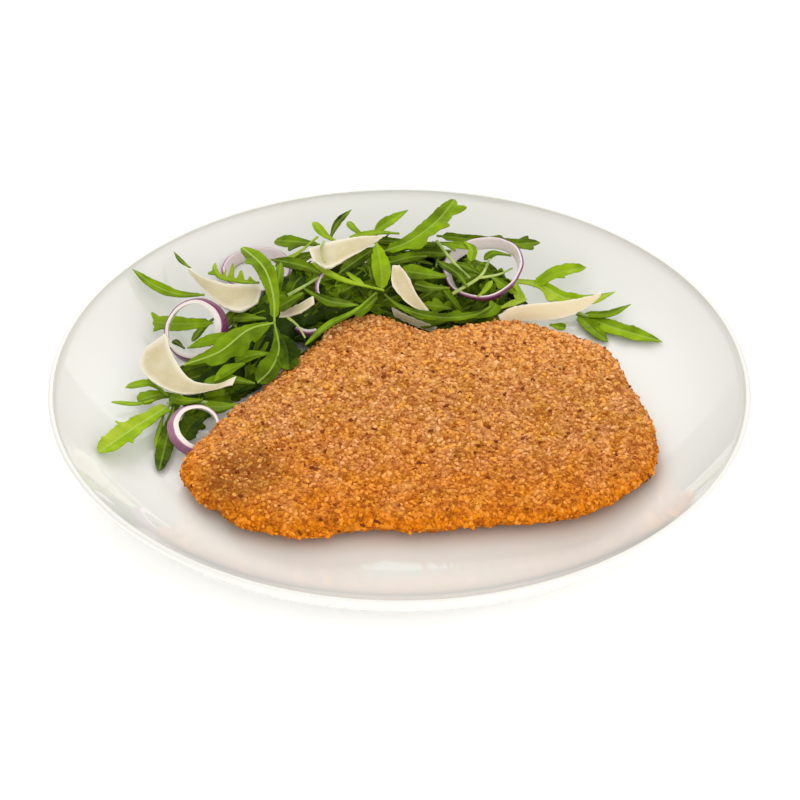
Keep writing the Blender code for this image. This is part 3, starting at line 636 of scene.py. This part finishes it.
def under_the_top(point, room=0.5, bend=3.0):
    """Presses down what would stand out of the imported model's box."""
    top = CAD_BOX[1][2] / MM - room
    over = point.z - (top - bend)
    if over > 0.0:
        point.z = top - bend + bend * (1.0 - math.exp(-over / bend))
    return point


def only(*pieces):
    """Selects these pieces and nothing else, the first of them active."""
    bpy.ops.object.select_all(action="DESELECT")
    for piece in pieces:
        piece.select_set(True)
    if pieces:
        bpy.context.view_layer.objects.active = pieces[0]


def added(name, operator, **settings):
    """Adds a primitive with nothing else selected, and names it."""
    only()
    operator(**settings)
    return named(name)


def named(name):
    piece = bpy.context.object
    piece.name = piece.data.name = name
    return piece


def modify(piece, kind, **settings):
    """Adds a modifier and applies it."""
    only(piece)
    modifier = piece.modifiers.new(kind.lower(), kind)
    for name, value in settings.items():
        setattr(modifier, name, value)
    bpy.ops.object.modifier_apply(modifier=modifier.name)


def edit(piece, *steps):
    """Runs edit-mode operators on the whole mesh: each step is an operator and its settings."""
    only(piece)
    bpy.ops.object.mode_set(mode="EDIT")
    bpy.ops.mesh.select_all(action="SELECT")
    for operator, settings in steps:
        operator(**settings)
    bpy.ops.object.mode_set(mode="OBJECT")


def cut_out(piece, parts, kind, unwanted):
    """Deletes the edges or vertices that are unwanted."""
    edit(piece, (bpy.ops.mesh.select_mode, {"type": kind}), SELECT_NONE)
    for part in parts:
        part.select = unwanted(part)
    bpy.ops.object.mode_set(mode="EDIT")
    bpy.ops.mesh.delete(type=kind)
    bpy.ops.mesh.select_mode(type="VERT")
    bpy.ops.object.mode_set(mode="OBJECT")


def formed_grid(name, across, along, place):
    """A grid whose point (u, v) is moved to place(u, v), both running from 0 to 1."""
    grid = bpy.ops.mesh.primitive_grid_add
    piece = added(name, grid, x_subdivisions=across, y_subdivisions=along, size=1.0)
    for vertex in piece.data.vertices:
        vertex.co = place(vertex.co.x + 0.5, vertex.co.y + 0.5)
    return piece


def joined(name, pieces):
    only(*pieces)
    bpy.ops.object.join()
    return named(name)


def mark(piece, name, values):
    """Keeps a number for each vertex of a piece, for its finish to read."""
    piece.data.attributes.new(name, "FLOAT", "POINT").data.foreach_set("value", values)


def finished(piece, material, smooth=None, stands_for=()):
    """Gives a piece its material and its place in the model."""
    piece.data.materials.clear()
    piece.data.materials.append(material)
    only(piece)
    if smooth is not None:
        bpy.ops.object.shade_smooth_by_angle(angle=math.radians(smooth))
    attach(piece, "root")
    if stands_for:
        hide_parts(*stands_for)
    return piece


# ---- the plate


def plate_profile(size):
    """The plate's turned profile in metres, from the middle of its floor to the rim and back underneath."""
    rim, top, flat = size.rim_radius, size.rim_height, size.flat_radius
    profile = [(r, size.floor_height) for r in evenly(0.0, flat, 13)[:-1]]
    profile += [(r, dish_height(r / MM) * MM) for r in evenly(flat, rim - 2 * LIP, 29)]
    for turn in map(math.radians, evenly(125, -45, 13)):
        profile.append((rim - LIP + LIP * math.cos(turn), top - LIP + LIP * math.sin(turn)))
    for r in evenly(rim - 0.004, FOOT_RADIUS + 0.0025, 15):
        thinner = THINNER * (r - FOOT_RADIUS) / (rim - FOOT_RADIUS)
        profile.append((r, dish_height(r / MM) * MM - WALL + thinner))
    return [*profile, *FOOT]


class SCHNITZEL_OT_plate(bpy.types.Operator):
    """Turn the coupe plate from its profile"""

    bl_idname = "schnitzel.plate"
    bl_label = "Plate"

    def execute(self, context):
        size = context.scene.plate_settings
        profile = plate_profile(size)
        ends = {0, len(profile) - 1}
        plate = added("coupe_plate", bpy.ops.mesh.primitive_circle_add, vertices=len(profile), radius=0.1)
        for vertex, (r, z) in zip(plate.data.vertices, profile):
            vertex.co = (r, 0.0, z)
        cut_out(plate, plate.data.edges, "EDGE", lambda edge: set(edge.vertices) == ends)
        turn = {"steps": size.turns, "angle": math.tau, "center": (0, 0, 0), "axis": (0, 0, 1)}
        merge = (bpy.ops.mesh.remove_doubles, {"threshold": 0.00001})
        edit(plate, (bpy.ops.mesh.spin, turn), SELECT_ALL, merge, OUTWARDS)
        finished(plate, glaze_finish(size.glaze), 40, ["plate"])
        return {"FINISHED"}


# ---- the schnitzel


def crust_lift(point, normal):
    """How far the crust stands out at a point, in metres: broad swells, clumps and small pits."""
    side = 1.0 - max(0.0, normal.z)
    swell = noise.noise(point / SWELL)
    clump = noise.noise(point / CLUMP + Vector((7, 3, 1)))
    pit = 0.5 - noise.voronoi(point / PIT)[0][0]
    return MM * (0.35 * swell + (0.50 + 0.35 * side) * clump + 0.55 * pit - 0.45)


class SCHNITZEL_OT_crust(bpy.types.Operator):
    """Make the schnitzel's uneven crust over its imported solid"""

    bl_idname = "schnitzel.crust"
    bl_label = "Crust"

    def execute(self, context):
        size = context.scene.crust_settings
        crust = bpy.data.objects.new("schnitzel_crust", frame["nodes"]["schnitzel"].data.copy())
        context.scene.collection.objects.link(crust)
        modify(crust, "WELD", merge_threshold=0.00001)
        modify(crust, "REMESH", mode="VOXEL", voxel_size=size.voxel * 1)
        modify(crust, "SMOOTH", factor=0.5, iterations=12)
        moved = [v.co + v.normal * crust_lift(v.co, v.normal) for v in crust.data.vertices]
        for vertex, place in zip(crust.data.vertices, moved):
            vertex.co = (place.x, place.y, max(place.z, CRUST_FOOT))
        finished(crust, crust_finish(size.golden, size.toasted), 60, ["schnitzel"])
        return {"FINISHED"}


def crumb_pattern(name, stretch, seed, collection, material):
    """One crumb, a low-sided lump that the scatter copies."""
    crumb = added(name, bpy.ops.mesh.primitive_ico_sphere_add, subdivisions=1, radius=1.0)
    dice = random.Random(seed)
    for vertex in crumb.data.vertices:
        vertex.co = Vector(a * b for a, b in zip(vertex.co, stretch)) * dice.uniform(0.70, 1.25)
    crumb.data.materials.append(material)
    collection.objects.link(crumb)


def scatter(name, ground, patterns, spacing, scale, seed):
    """A copy of ground turned into crumbs that lie on it, by geometry nodes that are then applied."""
    tree = bpy.data.node_groups.new(name, "GeometryNodeTree")
    for way in ("INPUT", "OUTPUT"):
        tree.interface.new_socket("Geometry", in_out=way, socket_type="NodeSocketGeometry")
    g = Nodes(tree)

    def random_value(kind, low, high, draw):
        return g.node("FunctionNodeRandomValue", {"data_type": kind}, Min=low, Max=high, Seed=seed + draw)

    tilt = Vector((0.7, 0.7, math.pi))
    rise = g.split(g.node("GeometryNodeInputNormal"), "Z")
    points = g.node(
        "GeometryNodeDistributePointsOnFaces",
        {"distribute_method": "POISSON"},
        Mesh=g.node("NodeGroupInput"),
        Selection=g.node("FunctionNodeCompare", {"operation": "GREATER_THAN"}, A=rise, B=-0.45),
        Distance_Min=spacing,
        Density_Max=1.2 / spacing**2,
        Seed=seed,
    )
    turned = g.node(
        "FunctionNodeRotateRotation",
        {"rotation_space": "LOCAL"},
        Rotation=points.beside("Rotation"),
        Rotate_By=random_value("FLOAT_VECTOR", -tilt, tilt, 1),
    )
    kept = {"Collection": patterns, "Separate_Children": True, "Reset_Children": True}
    laid = g.node(
        "GeometryNodeInstanceOnPoints",
        Points=points,
        Instance=g.node("GeometryNodeCollectionInfo", **kept),
        Pick_Instance=True,
        Rotation=turned,
        Scale=random_value("FLOAT", *scale, 2),
    )
    toned = g.node(
        "GeometryNodeStoreNamedAttribute",
        {"data_type": "FLOAT", "domain": "INSTANCE"},
        Geometry=laid,
        Name="tone",
        Value=random_value("FLOAT", 0.0, 1.0, 3),
    )
    g.node("NodeGroupOutput", None, g.node("GeometryNodeRealizeInstances", Geometry=toned))
    crumbs = bpy.data.objects.new(name, ground.data.copy())
    bpy.context.scene.collection.objects.link(crumbs)
    modify(crumbs, "NODES", node_group=tree)
    return crumbs


def make_stray_crumb(material):
    """The one crumb that fell on the plate."""
    crumb = added("stray_crumb", bpy.ops.mesh.primitive_ico_sphere_add, subdivisions=3, radius=0.0013)
    for vertex in crumb.data.vertices:
        vertex.co *= 1.0 + 0.35 * noise.noise(vertex.co / 0.0009)
        vertex.co.z *= 0.75
        vertex.co += STRAY_CRUMB
    mark(crumb, "tone", [0.5] * len(crumb.data.vertices))
    finished(crumb, material, 60)


class SCHNITZEL_OT_crumbs(bpy.types.Operator):
    """Strew fried breadcrumbs over the crust, and lay the one that fell on the plate"""

    bl_idname = "schnitzel.crumbs"
    bl_label = "Crumbs"

    def execute(self, context):
        size = context.scene.crust_settings
        material = crumb_finish(size.golden, size.toasted)
        ground = bpy.data.objects["schnitzel_crust"]
        spacing = size.crumb_spacing * 1
        scale = (size.crumb_size * 0.55, size.crumb_size * 1.25)
        for kind, (name, stretches) in enumerate(CRUMBS.items()):
            patterns = bpy.data.collections.new(name + "_patterns")
            for k, stretch in enumerate(stretches):
                crumb_pattern(f"{name}_{k}", stretch, 10 * kind + k, patterns, material)
            crumbs = scatter(name + "s", ground, patterns, spacing, scale, 40 + kind)
            for pattern in list(patterns.objects):
                bpy.data.objects.remove(pattern)
            bpy.data.collections.remove(patterns)
            finished(crumbs, material)
        make_stray_crumb(material)
        return {"FINISHED"}


# ---- the rocket


def side_width(along, length, side, leaf, stalk, seed):
    """Half width of one side of a leaf at a distance along it, side lobes and small teeth included."""
    base, shoulder, point, _ = leaf.form
    share = (along / length - stalk) / (1.0 - stalk)
    width = STALK
    if share > 0.0:
        blade = base + (1.0 - base) * smooth_step(share / shoulder)
        if share > shoulder:
            blade *= (1.0 - min(1.0, (share - shoulder) / (1.0 - shoulder)) ** 2.0) ** point
        width = max(STALK if along < 0.5 * length else TIP, leaf.half_width * blade)
    for place, lobe_side, reach, half_length in leaf.lobes:
        off = (along - place * length) / half_length
        if lobe_side == side and abs(off) < 1.0:
            finger = reach * (1.0 - off * off) ** 0.8
            width = (width**3 + finger**3) ** (1 / 3)
    tooth = noise.noise(Vector((along * 0.5, side * 5.0, seed)))
    return width * (1.0 + 0.12 * tooth)


def make_leaf(name, leaf, seed, facing=Vector((0.0, -0.35, 0.94)), stalk=0.06, step=0.55, columns=8):
    """One leaf, bent along its route: a shallow trough with a pale rib and lobes that lean forward."""
    dice = random.Random(seed)
    route = leaf.route
    length = sum((Vector(b) - Vector(a)).length for a, b in zip(route, route[1:]))
    rows = int(min(90, max(14, length / step)))
    fold, wave, phase = dice.uniform(0.2, 0.5), dice.uniform(0.3, 0.9), dice.uniform(0, 6)
    half = columns // 2
    stations, chart = [], {}
    for i in range(rows + 1):
        t = i / rows
        ahead = (spline(route, min(1.0, t + 0.02)) - spline(route, max(0.0, t - 0.02))).normalized()
        side = ahead.cross(facing).normalized()
        widths = [side_width(t * length, length, hand, leaf, stalk, seed) for hand in (-1, 1)]
        stations.append((spline(route, t), ahead, side, side.cross(ahead), widths))

    def place(u, v):
        at, ahead, side, up, widths = stations[round(v * rows)]
        column = round(u * columns) - half
        hand = 1 if column > 0 else -1
        width = widths[1 if column > 0 else 0]
        core = min(RIB, 0.6 * width)
        share = abs(column) / half
        off = 0.0 if column == 0 else core + (width - core) * (share - 1 / half) / (1 - 1 / half)
        lean = leaf.form[3] * max(0.0, off - 0.6)
        ripple = wave * math.sin(0.55 * (v * length + lean) + phase + hand) * (off / 5.0) ** 1.5
        lift = fold * (off - 0.5 * leaf.half_width) - 0.030 * off * off + ripple
        point = under_the_top(clear_of_plate(at + side * (hand * off) + ahead * lean + up * lift))
        chart[(round(u * columns), round(v * rows))] = (v * length + lean, hand * off)
        return point * MM

    blade = formed_grid(name, columns, rows, place)
    uv = blade.data.uv_layers["UVMap"].data
    for loop in blade.data.loops:
        row, column = divmod(loop.vertex_index, columns + 1)
        along, off = chart[(column, row)]
        uv[loop.index].uv = (along * 0.01, 0.5 + off * 0.01)
    for trait, value in (("tone", leaf.fresh), ("rib", leaf.rib)):
        mark(blade, trait, [value] * len(blade.data.vertices))
    return blade


def ridge_at(t):
    """The ridge's x, y, half width and height at t, and the way across it."""
    ahead = spline(RIDGE, min(1.0, t + 0.01)) - spline(RIDGE, max(0.0, t - 0.01))
    return (*spline(RIDGE, t), Vector((-ahead[1], ahead[0], 0.0)).normalized())


def small_leaf(dice, heap, crust, shown, around):
    """A small leaf draped over the heap, up to that turn round from its back, or nothing where it would leave
    the ridge, cut into the crust or hide what is shown."""
    x, y, half_width, height, across = ridge_at(dice.uniform(0.05, 0.95))
    turn = dice.uniform(0.0, around)
    out = across * (half_width * math.cos(turn)) + UP * (height * math.sin(turn))
    at, facing, _, _ = heap.find_nearest((Vector((x, y, FLOOR)) + out * 1.3) * MM)
    heading = Vector([dice.gauss(0.0, 1.0) for _ in range(3)])
    length = dice.uniform(16, 32)
    half_width = dice.uniform(1.6, 3.0)
    surface, facings = [], []
    for depth in (-3.4, -1.8, -1.2, -2.0):
        surface.append(at / MM + facing * (depth + dice.uniform(-0.8, 0.5)))
        facings.append(facing)
        heading = (heading - facing * heading.dot(facing)).normalized()
        heading.z *= 0.6
        at, facing, _, _ = heap.find_nearest(at + heading * (length / 3) * MM)
    lean = Vector((dice.uniform(-0.4, 0.4), dice.uniform(-0.6, 0.2), 0.5))
    facing = (sum(facings, Vector()) / 4 + lean).normalized()
    for deeper in (0.0, 2.0, 4.0, 6.0):
        route = [point - way * deeper for point, way in zip(surface, facings)]
        if lies_free(route, facing, half_width, crust, shown):
            break
    else:
        return None
    if (route[-1] - route[0]).length < 0.6 * length:
        return None
    lobes = []
    for k in range(dice.randint(0, 2)):
        place = 0.30 + 0.22 * k + dice.uniform(-0.05, 0.05)
        for hand in (-1, 1):
            if dice.random() < 0.8:
                lobes.append((place, hand, half_width + dice.uniform(0.8, 2.4), dice.uniform(1.8, 3.0)))
    # Painted shade: the small leaves lie deep in the heap, so their tones are mostly dark
    tone = dice.choice((0.04, 0.10, 0.16, 0.22, 0.30, 0.40, 0.50))
    return Leaf(route, half_width, tone, tuple(lobes), dice.choice((STRAP, LANCE))), facing


def lies_free(route, facing, half_width, crust, shown):
    """Whether a leaf of that route stays in the ridge, out of the crust and behind what is shown."""
    for point in route:
        near, normal, _, _ = crust.find_nearest(point * MM)
        if (point - near / MM).dot(normal) < 1.2 or not in_ridge(point):
            return False
    side = (route[-1] - route[0]).cross(facing).normalized() * half_width
    line, shares = [spline(route, t) for t in evenly(0.0, 1.0, 13)], (-1.3, -0.6, 0.0, 0.6, 1.3)
    return not any(hides(place + side * share, shown) for place in line for share in shares)


def in_ridge(point, room=1.12):
    """Whether a point lies within the mound that the ridge stands for."""
    for t in evenly(0.0, 1.0, 41):
        x, y, half_width, height = spline(RIDGE, t)
        off = math.hypot(point.x - x, point.y - y) / half_width
        if off * off + ((point.z - FLOOR) / height) ** 2 < room:
            return True
    return False


def hides(point, shown, tilt=math.radians(36), reach=0.04):
    """Whether a point lies before one of the shown pieces, for someone who sits at the front of the table."""
    away = Vector((0.0, math.cos(tilt), -math.sin(tilt)))
    return shown.ray_cast(point * MM - away * MM, away, reach)[0] is not None


def tree_of(*meshes):
    """One search tree over the faces of these meshes."""
    places, faces = [], []
    for mesh in meshes:
        start = len(places)
        places += [v.co.copy() for v in mesh.vertices]
        faces += [[start + k for k in p.vertices] for p in mesh.polygons]
    return bvhtree.BVHTree.FromPolygons(places, faces)


def make_heart():
    """The small heart of crushed leaves inside the heap, a dark mass that stands for the shade in the gaps
    between the leaves.
    """

    def place(u, v):
        x, y, half_width, height, across = ridge_at(0.04 + 0.92 * v)
        close = math.sin(math.pi * v) ** 0.35
        turn = math.tau * u
        wide, tall = 0.74 * half_width * close, 0.34 * height * close
        at = Vector((x, y, 8.0 + tall)) + across * (wide * math.cos(turn)) + UP * (tall * math.sin(turn))
        rough = noise.noise(at / 4.5) * 2.2 * close
        at += (across * math.cos(turn) + UP * max(0.0, math.sin(turn))) * rough
        return clear_of_plate(at) * MM

    heart = formed_grid("rocket_heart", 36, 90, place)
    edit(heart, (bpy.ops.mesh.remove_doubles, {"threshold": 0.00002}), OUTWARDS)
    finished(heart, heart_shade_finish(), 60, ["rocket_heap"])


def make_stalks():
    """The bare stalks, each a tapering rod along its route."""
    stalks = []
    last = 23
    for number, (route, thickness) in enumerate(BARE_STALKS):
        line = added(f"stalk_{number}", bpy.ops.curve.primitive_nurbs_path_add).data
        line.splines.clear()
        path = line.splines.new("POLY")
        path.points.add(last)
        for i, point in enumerate(path.points):
            at = clear_of_plate(spline(route, i / last), 1.0) * MM
            point.co, point.radius = (*at, 1.0), 1.0 - 0.35 * i / last
        line.dimensions, line.bevel_depth, line.bevel_resolution = "3D", thickness * MM / 2, 3
        line.use_fill_caps = True
        bpy.ops.object.convert(target="MESH")
        stalks.append(bpy.context.object)
    finished(joined("rocket_stalks", stalks), stalk_finish(), 60)


class SCHNITZEL_OT_rocket(bpy.types.Operator):
    """Lay the rocket leaves over a small heart of crushed leaves"""

    bl_idname = "schnitzel.rocket"
    bl_label = "Rocket"

    def execute(self, context):
        size = context.scene.salad_settings
        leaves = [make_leaf(f"leaf_{n}", Leaf(*row), n) for n, row in enumerate(LEAVES)]
        rocket = joined("rocket_leaves", leaves)
        pieces = [o.data for o in bpy.data.objects if o.name.startswith(("red_onion", "cheese_shaving"))]
        shown = tree_of(rocket.data, *pieces)
        heap, crust = (tree_of(frame["nodes"][node].data) for node in ("rocket_heap", "schnitzel"))
        dice = random.Random(11)
        small = []
        for wanted, around in ((size.small_leaves, math.pi), (size.back_leaves, 1.2)):
            tried = (small_leaf(dice, heap, crust, shown, around) for _ in range(20 * wanted))
            small += islice(filter(None, tried), wanted)
        strewn = []
        for n, (leaf, facing) in enumerate(small):
            strewn.append(make_leaf(f"small_{n}", leaf, 200 + n, facing, 0.15, 1.0, 6))
        filling = joined("rocket_small_leaves", strewn)
        material = leaf_finish()
        for piece in (rocket, filling):
            modify(piece, "SOLIDIFY", thickness=size.leaf_thickness, offset=0.0)
        finished(rocket, material, 70, ["rocket_sprig"])
        finished(filling, material, 70)
        make_heart()
        make_stalks()
        return {"FINISHED"}


# ---- onion and cheese


def make_onion_ring(
    name, centre, axis, radius, oval, first, last, tall, narrower, wall, thicker, thick_side, skin, purple
):
    """A slice of one onion layer: a circle drawn up into a narrowing band, given its wall and laid down."""
    ring = added(name, bpy.ops.mesh.primitive_circle_add, vertices=96, radius=radius)
    if last - first < 360:

        def beyond(vertex):
            return not first <= math.degrees(math.atan2(vertex.co.y, vertex.co.x)) % 360 <= last

        cut_out(ring, ring.data.vertices, "VERT", beyond)
    rise = (bpy.ops.mesh.extrude_region_move, {"TRANSFORM_OT_translate": {"value": (0, 0, tall / 4)}})
    edit(ring, *[rise] * 4, SELECT_ALL, OUTWARDS)
    for vertex in ring.data.vertices:
        up = vertex.co.z / tall
        vertex.co.xy *= 1.0 - (narrower * up if narrower > 0 else narrower * (up - 1.0)) / radius
        vertex.co.z -= tall / 2
    middle = ring.data.polygons[0]
    if middle.normal.dot(middle.center) < 0:
        edit(ring, (bpy.ops.mesh.flip_normals, {}))
    outer = len(ring.data.vertices)
    modify(ring, "SOLIDIFY", thickness=wall, offset=-1.0)
    depths = [0.0] * outer
    for vertex in ring.data.vertices[outer:]:
        turn = math.atan2(vertex.co.y, vertex.co.x) - math.radians(thick_side)
        extra = thicker * (0.5 + 0.5 * math.cos(turn)) ** 1.5
        vertex.co.xy *= 1.0 - extra / vertex.co.xy.length
        depths.append((wall + extra) / skin)
    mark(ring, "depth", depths)
    mark(ring, "purple", [purple] * len(depths))
    modify(ring, "BEVEL", width=0.28, **ROUNDED)
    axis = Vector(axis).normalized()
    across = UP.cross(axis).normalized()
    uphill = axis.cross(across)
    for vertex in ring.data.vertices:
        x, y, z = vertex.co
        turn = math.atan2(y, x)
        wave = 0.7 * math.sin(2 * turn + 0.5)
        wobble = 1.0 + 0.03 * noise.noise(Vector((2.0 * math.cos(turn), 2.0 * math.sin(turn), radius)))
        point = Vector(centre) + (across * x + uphill * (y * oval)) * wobble + axis * (z + wave)
        vertex.co = clear_of_plate(point) * MM
    return ring


class SCHNITZEL_OT_onion(bpy.types.Operator):
    """Lay the red onion rings in the salad"""

    bl_idname = "schnitzel.onion"
    bl_label = "Onion Rings"

    def execute(self, context):
        material = onion_finish()
        for name, shape in ONION_RINGS.items():
            ring = make_onion_ring("red_onion_" + name, *shape)
            finished(ring, material, 45, ["onion_" + name])
        return {"FINISHED"}


def make_shaving(name, upper, lower, seed, thickness):
    """A thin slice between its two long edges, ragged along them and a little uneven."""
    span = (Vector(upper[0]) - Vector(upper[-1])).length
    rows, columns = int(max(24, span * 1.3)), 14

    def place(u, v):
        a, b = spline(upper, v), spline(lower, v)
        ragged = 0.30 * noise.noise(Vector((v * span * 0.55, u, seed)))
        inset = u + (0.5 - u) * 0.05 + ragged / max(2.0, (b - a).length) * (1 if u in (0, 1) else 0)
        at = a.lerp(b, inset) + UP * (0.35 * noise.noise(Vector((v * span / 7, u * 2.0, seed + 3))))
        return clear_of_plate(at, 0.9) * MM

    piece = formed_grid(name, columns, rows, place)
    values = []
    for k in range(len(piece.data.vertices)):
        u, v = (k % (columns + 1)) / columns, (k // (columns + 1)) / rows
        values.append(max(0.0, 1.0 - min(u, 1 - u) * 5.6, 1.0 - min(v, 1 - v) * 9.0))
    mark(piece, "edge", values)
    modify(piece, "SOLIDIFY", thickness=thickness, offset=0.0)
    modify(piece, "BEVEL", width=0.00022, **ROUNDED)
    return piece


class SCHNITZEL_OT_cheese(bpy.types.Operator):
    """Lay the curled cheese shavings on the salad"""

    bl_idname = "schnitzel.cheese"
    bl_label = "Cheese Shavings"

    def execute(self, context):
        material = cheese_finish()
        thickness = context.scene.salad_settings.shaving_thickness
        for seed, (node, edges) in enumerate(SHAVINGS.items()):
            finished(make_shaving("cheese_" + node, *edges, seed, thickness), material, 50, [node])
        return {"FINISHED"}


# ---- the stage


def add_panel(name, place, wide, tall, power):
    """A cool area light that faces the plate and doesn't show in the glaze."""
    panel = added(name, bpy.ops.object.light_add, type="AREA", location=place)
    panel.data.shape = "RECTANGLE"
    panel.data.size, panel.data.size_y = wide, tall
    panel.data.energy, panel.data.color = power, (0.92, 0.97, 1.0)
    panel.visible_glossy = False
    panel.rotation_euler = (-Vector(place)).to_track_quat("-Z", "Y").to_euler()


def paint_room(tree, strength):
    """A bright white room with a glow high up at the back, and a beige wall low down behind the table whose
    top slants away on both sides."""
    room = Nodes(tree)
    way = room.node("ShaderNodeTexCoord", out="Generated")
    x, y, z = (room.split(way, axis) for axis in "XYZ")
    wall_top = 0.665 * y - 0.363 * abs(x - 0.146 * y)
    above = (z - wall_top).step(-0.015, 0.015)
    glow = (0.80 * y + 0.60 * z - 0.70).at_least(0.0)
    sky = tree.nodes["Background"].inputs
    room.feed(sky["Color"], room.mix(above, (0.36, 0.30, 0.24), (1.0, 0.985, 0.955)))
    room.feed(sky["Strength"], strength * (1.0 - 0.80 * y + 0.36 * x + 8.0 * glow * glow))


class SCHNITZEL_OT_stage(bpy.types.Operator):
    """Set the table, the lights and the camera"""

    bl_idname = "schnitzel.stage"
    bl_label = "Stage"

    def execute(self, context):
        size = context.scene.stage_settings
        table = added("table", bpy.ops.mesh.primitive_plane_add, size=8.0)
        table.data.materials.append(table_finish())
        world = bpy.data.worlds.new("room")
        world.use_nodes = True
        paint_room(world.node_tree, size.sky)
        context.scene.world = world
        add_panel("panel_over", (-0.35, 0.50, 1.15), 0.6, 0.6, size.panel)
        add_panel("panel_behind", (-0.30, 1.15, 0.66), 1.0, 0.6, 7.0 * size.panel)
        ahead = Vector((0.0, math.cos(size.elevation), -math.sin(size.elevation)))
        place = Vector(size.aim) - ahead * size.distance
        camera = added("camera", bpy.ops.object.camera_add, location=place)
        camera.rotation_euler = ahead.to_track_quat("-Z", "Y").to_euler()
        camera.data.sensor_width, camera.data.lens = 36.0, size.lens
        camera.data.clip_start, camera.data.clip_end = 0.05, 20.0
        context.scene.camera = camera
        context.scene.view_settings.view_transform = "Standard"
        return {"FINISHED"}


SETTINGS = {
    "plate_settings": PlateSettings,
    "crust_settings": CrustSettings,
    "salad_settings": SaladSettings,
    "stage_settings": StageSettings,
}
STEPS = (
    SCHNITZEL_OT_plate, SCHNITZEL_OT_crust, SCHNITZEL_OT_crumbs, SCHNITZEL_OT_onion,
    SCHNITZEL_OT_cheese, SCHNITZEL_OT_rocket, SCHNITZEL_OT_stage,
)


class SCHNITZEL_PT_panel(bpy.types.Panel):
    """Lists the steps that make the plate of food"""

    bl_idname = "SCHNITZEL_PT_panel"
    bl_label = "Schnitzel Plate"
    bl_space_type = "VIEW_3D"
    bl_region_type = "UI"
    bl_category = "Schnitzel"

    def draw(self, context):
        for settings in SETTINGS:
            box = self.layout.box()
            group = getattr(context.scene, settings)
            for name in group.__annotations__:
                box.prop(group, name)
        for step in STEPS:
            self.layout.operator(step.bl_idname)


CLASSES = (*SETTINGS.values(), *STEPS, SCHNITZEL_PT_panel)


def register():
    for cls in CLASSES:
        bpy.utils.register_class(cls)
    for name, cls in SETTINGS.items():
        setattr(bpy.types.Scene, name, bpy.props.PointerProperty(type=cls))


def unregister():
    for name in SETTINGS:
        delattr(bpy.types.Scene, name)
    for cls in reversed(CLASSES):
        bpy.utils.unregister_class(cls)


def main():
    register()
    for step in STEPS:
        area, name = step.bl_idname.split(".")
        getattr(getattr(bpy.ops, area), name)()


if __name__ == "__main__":
    main()
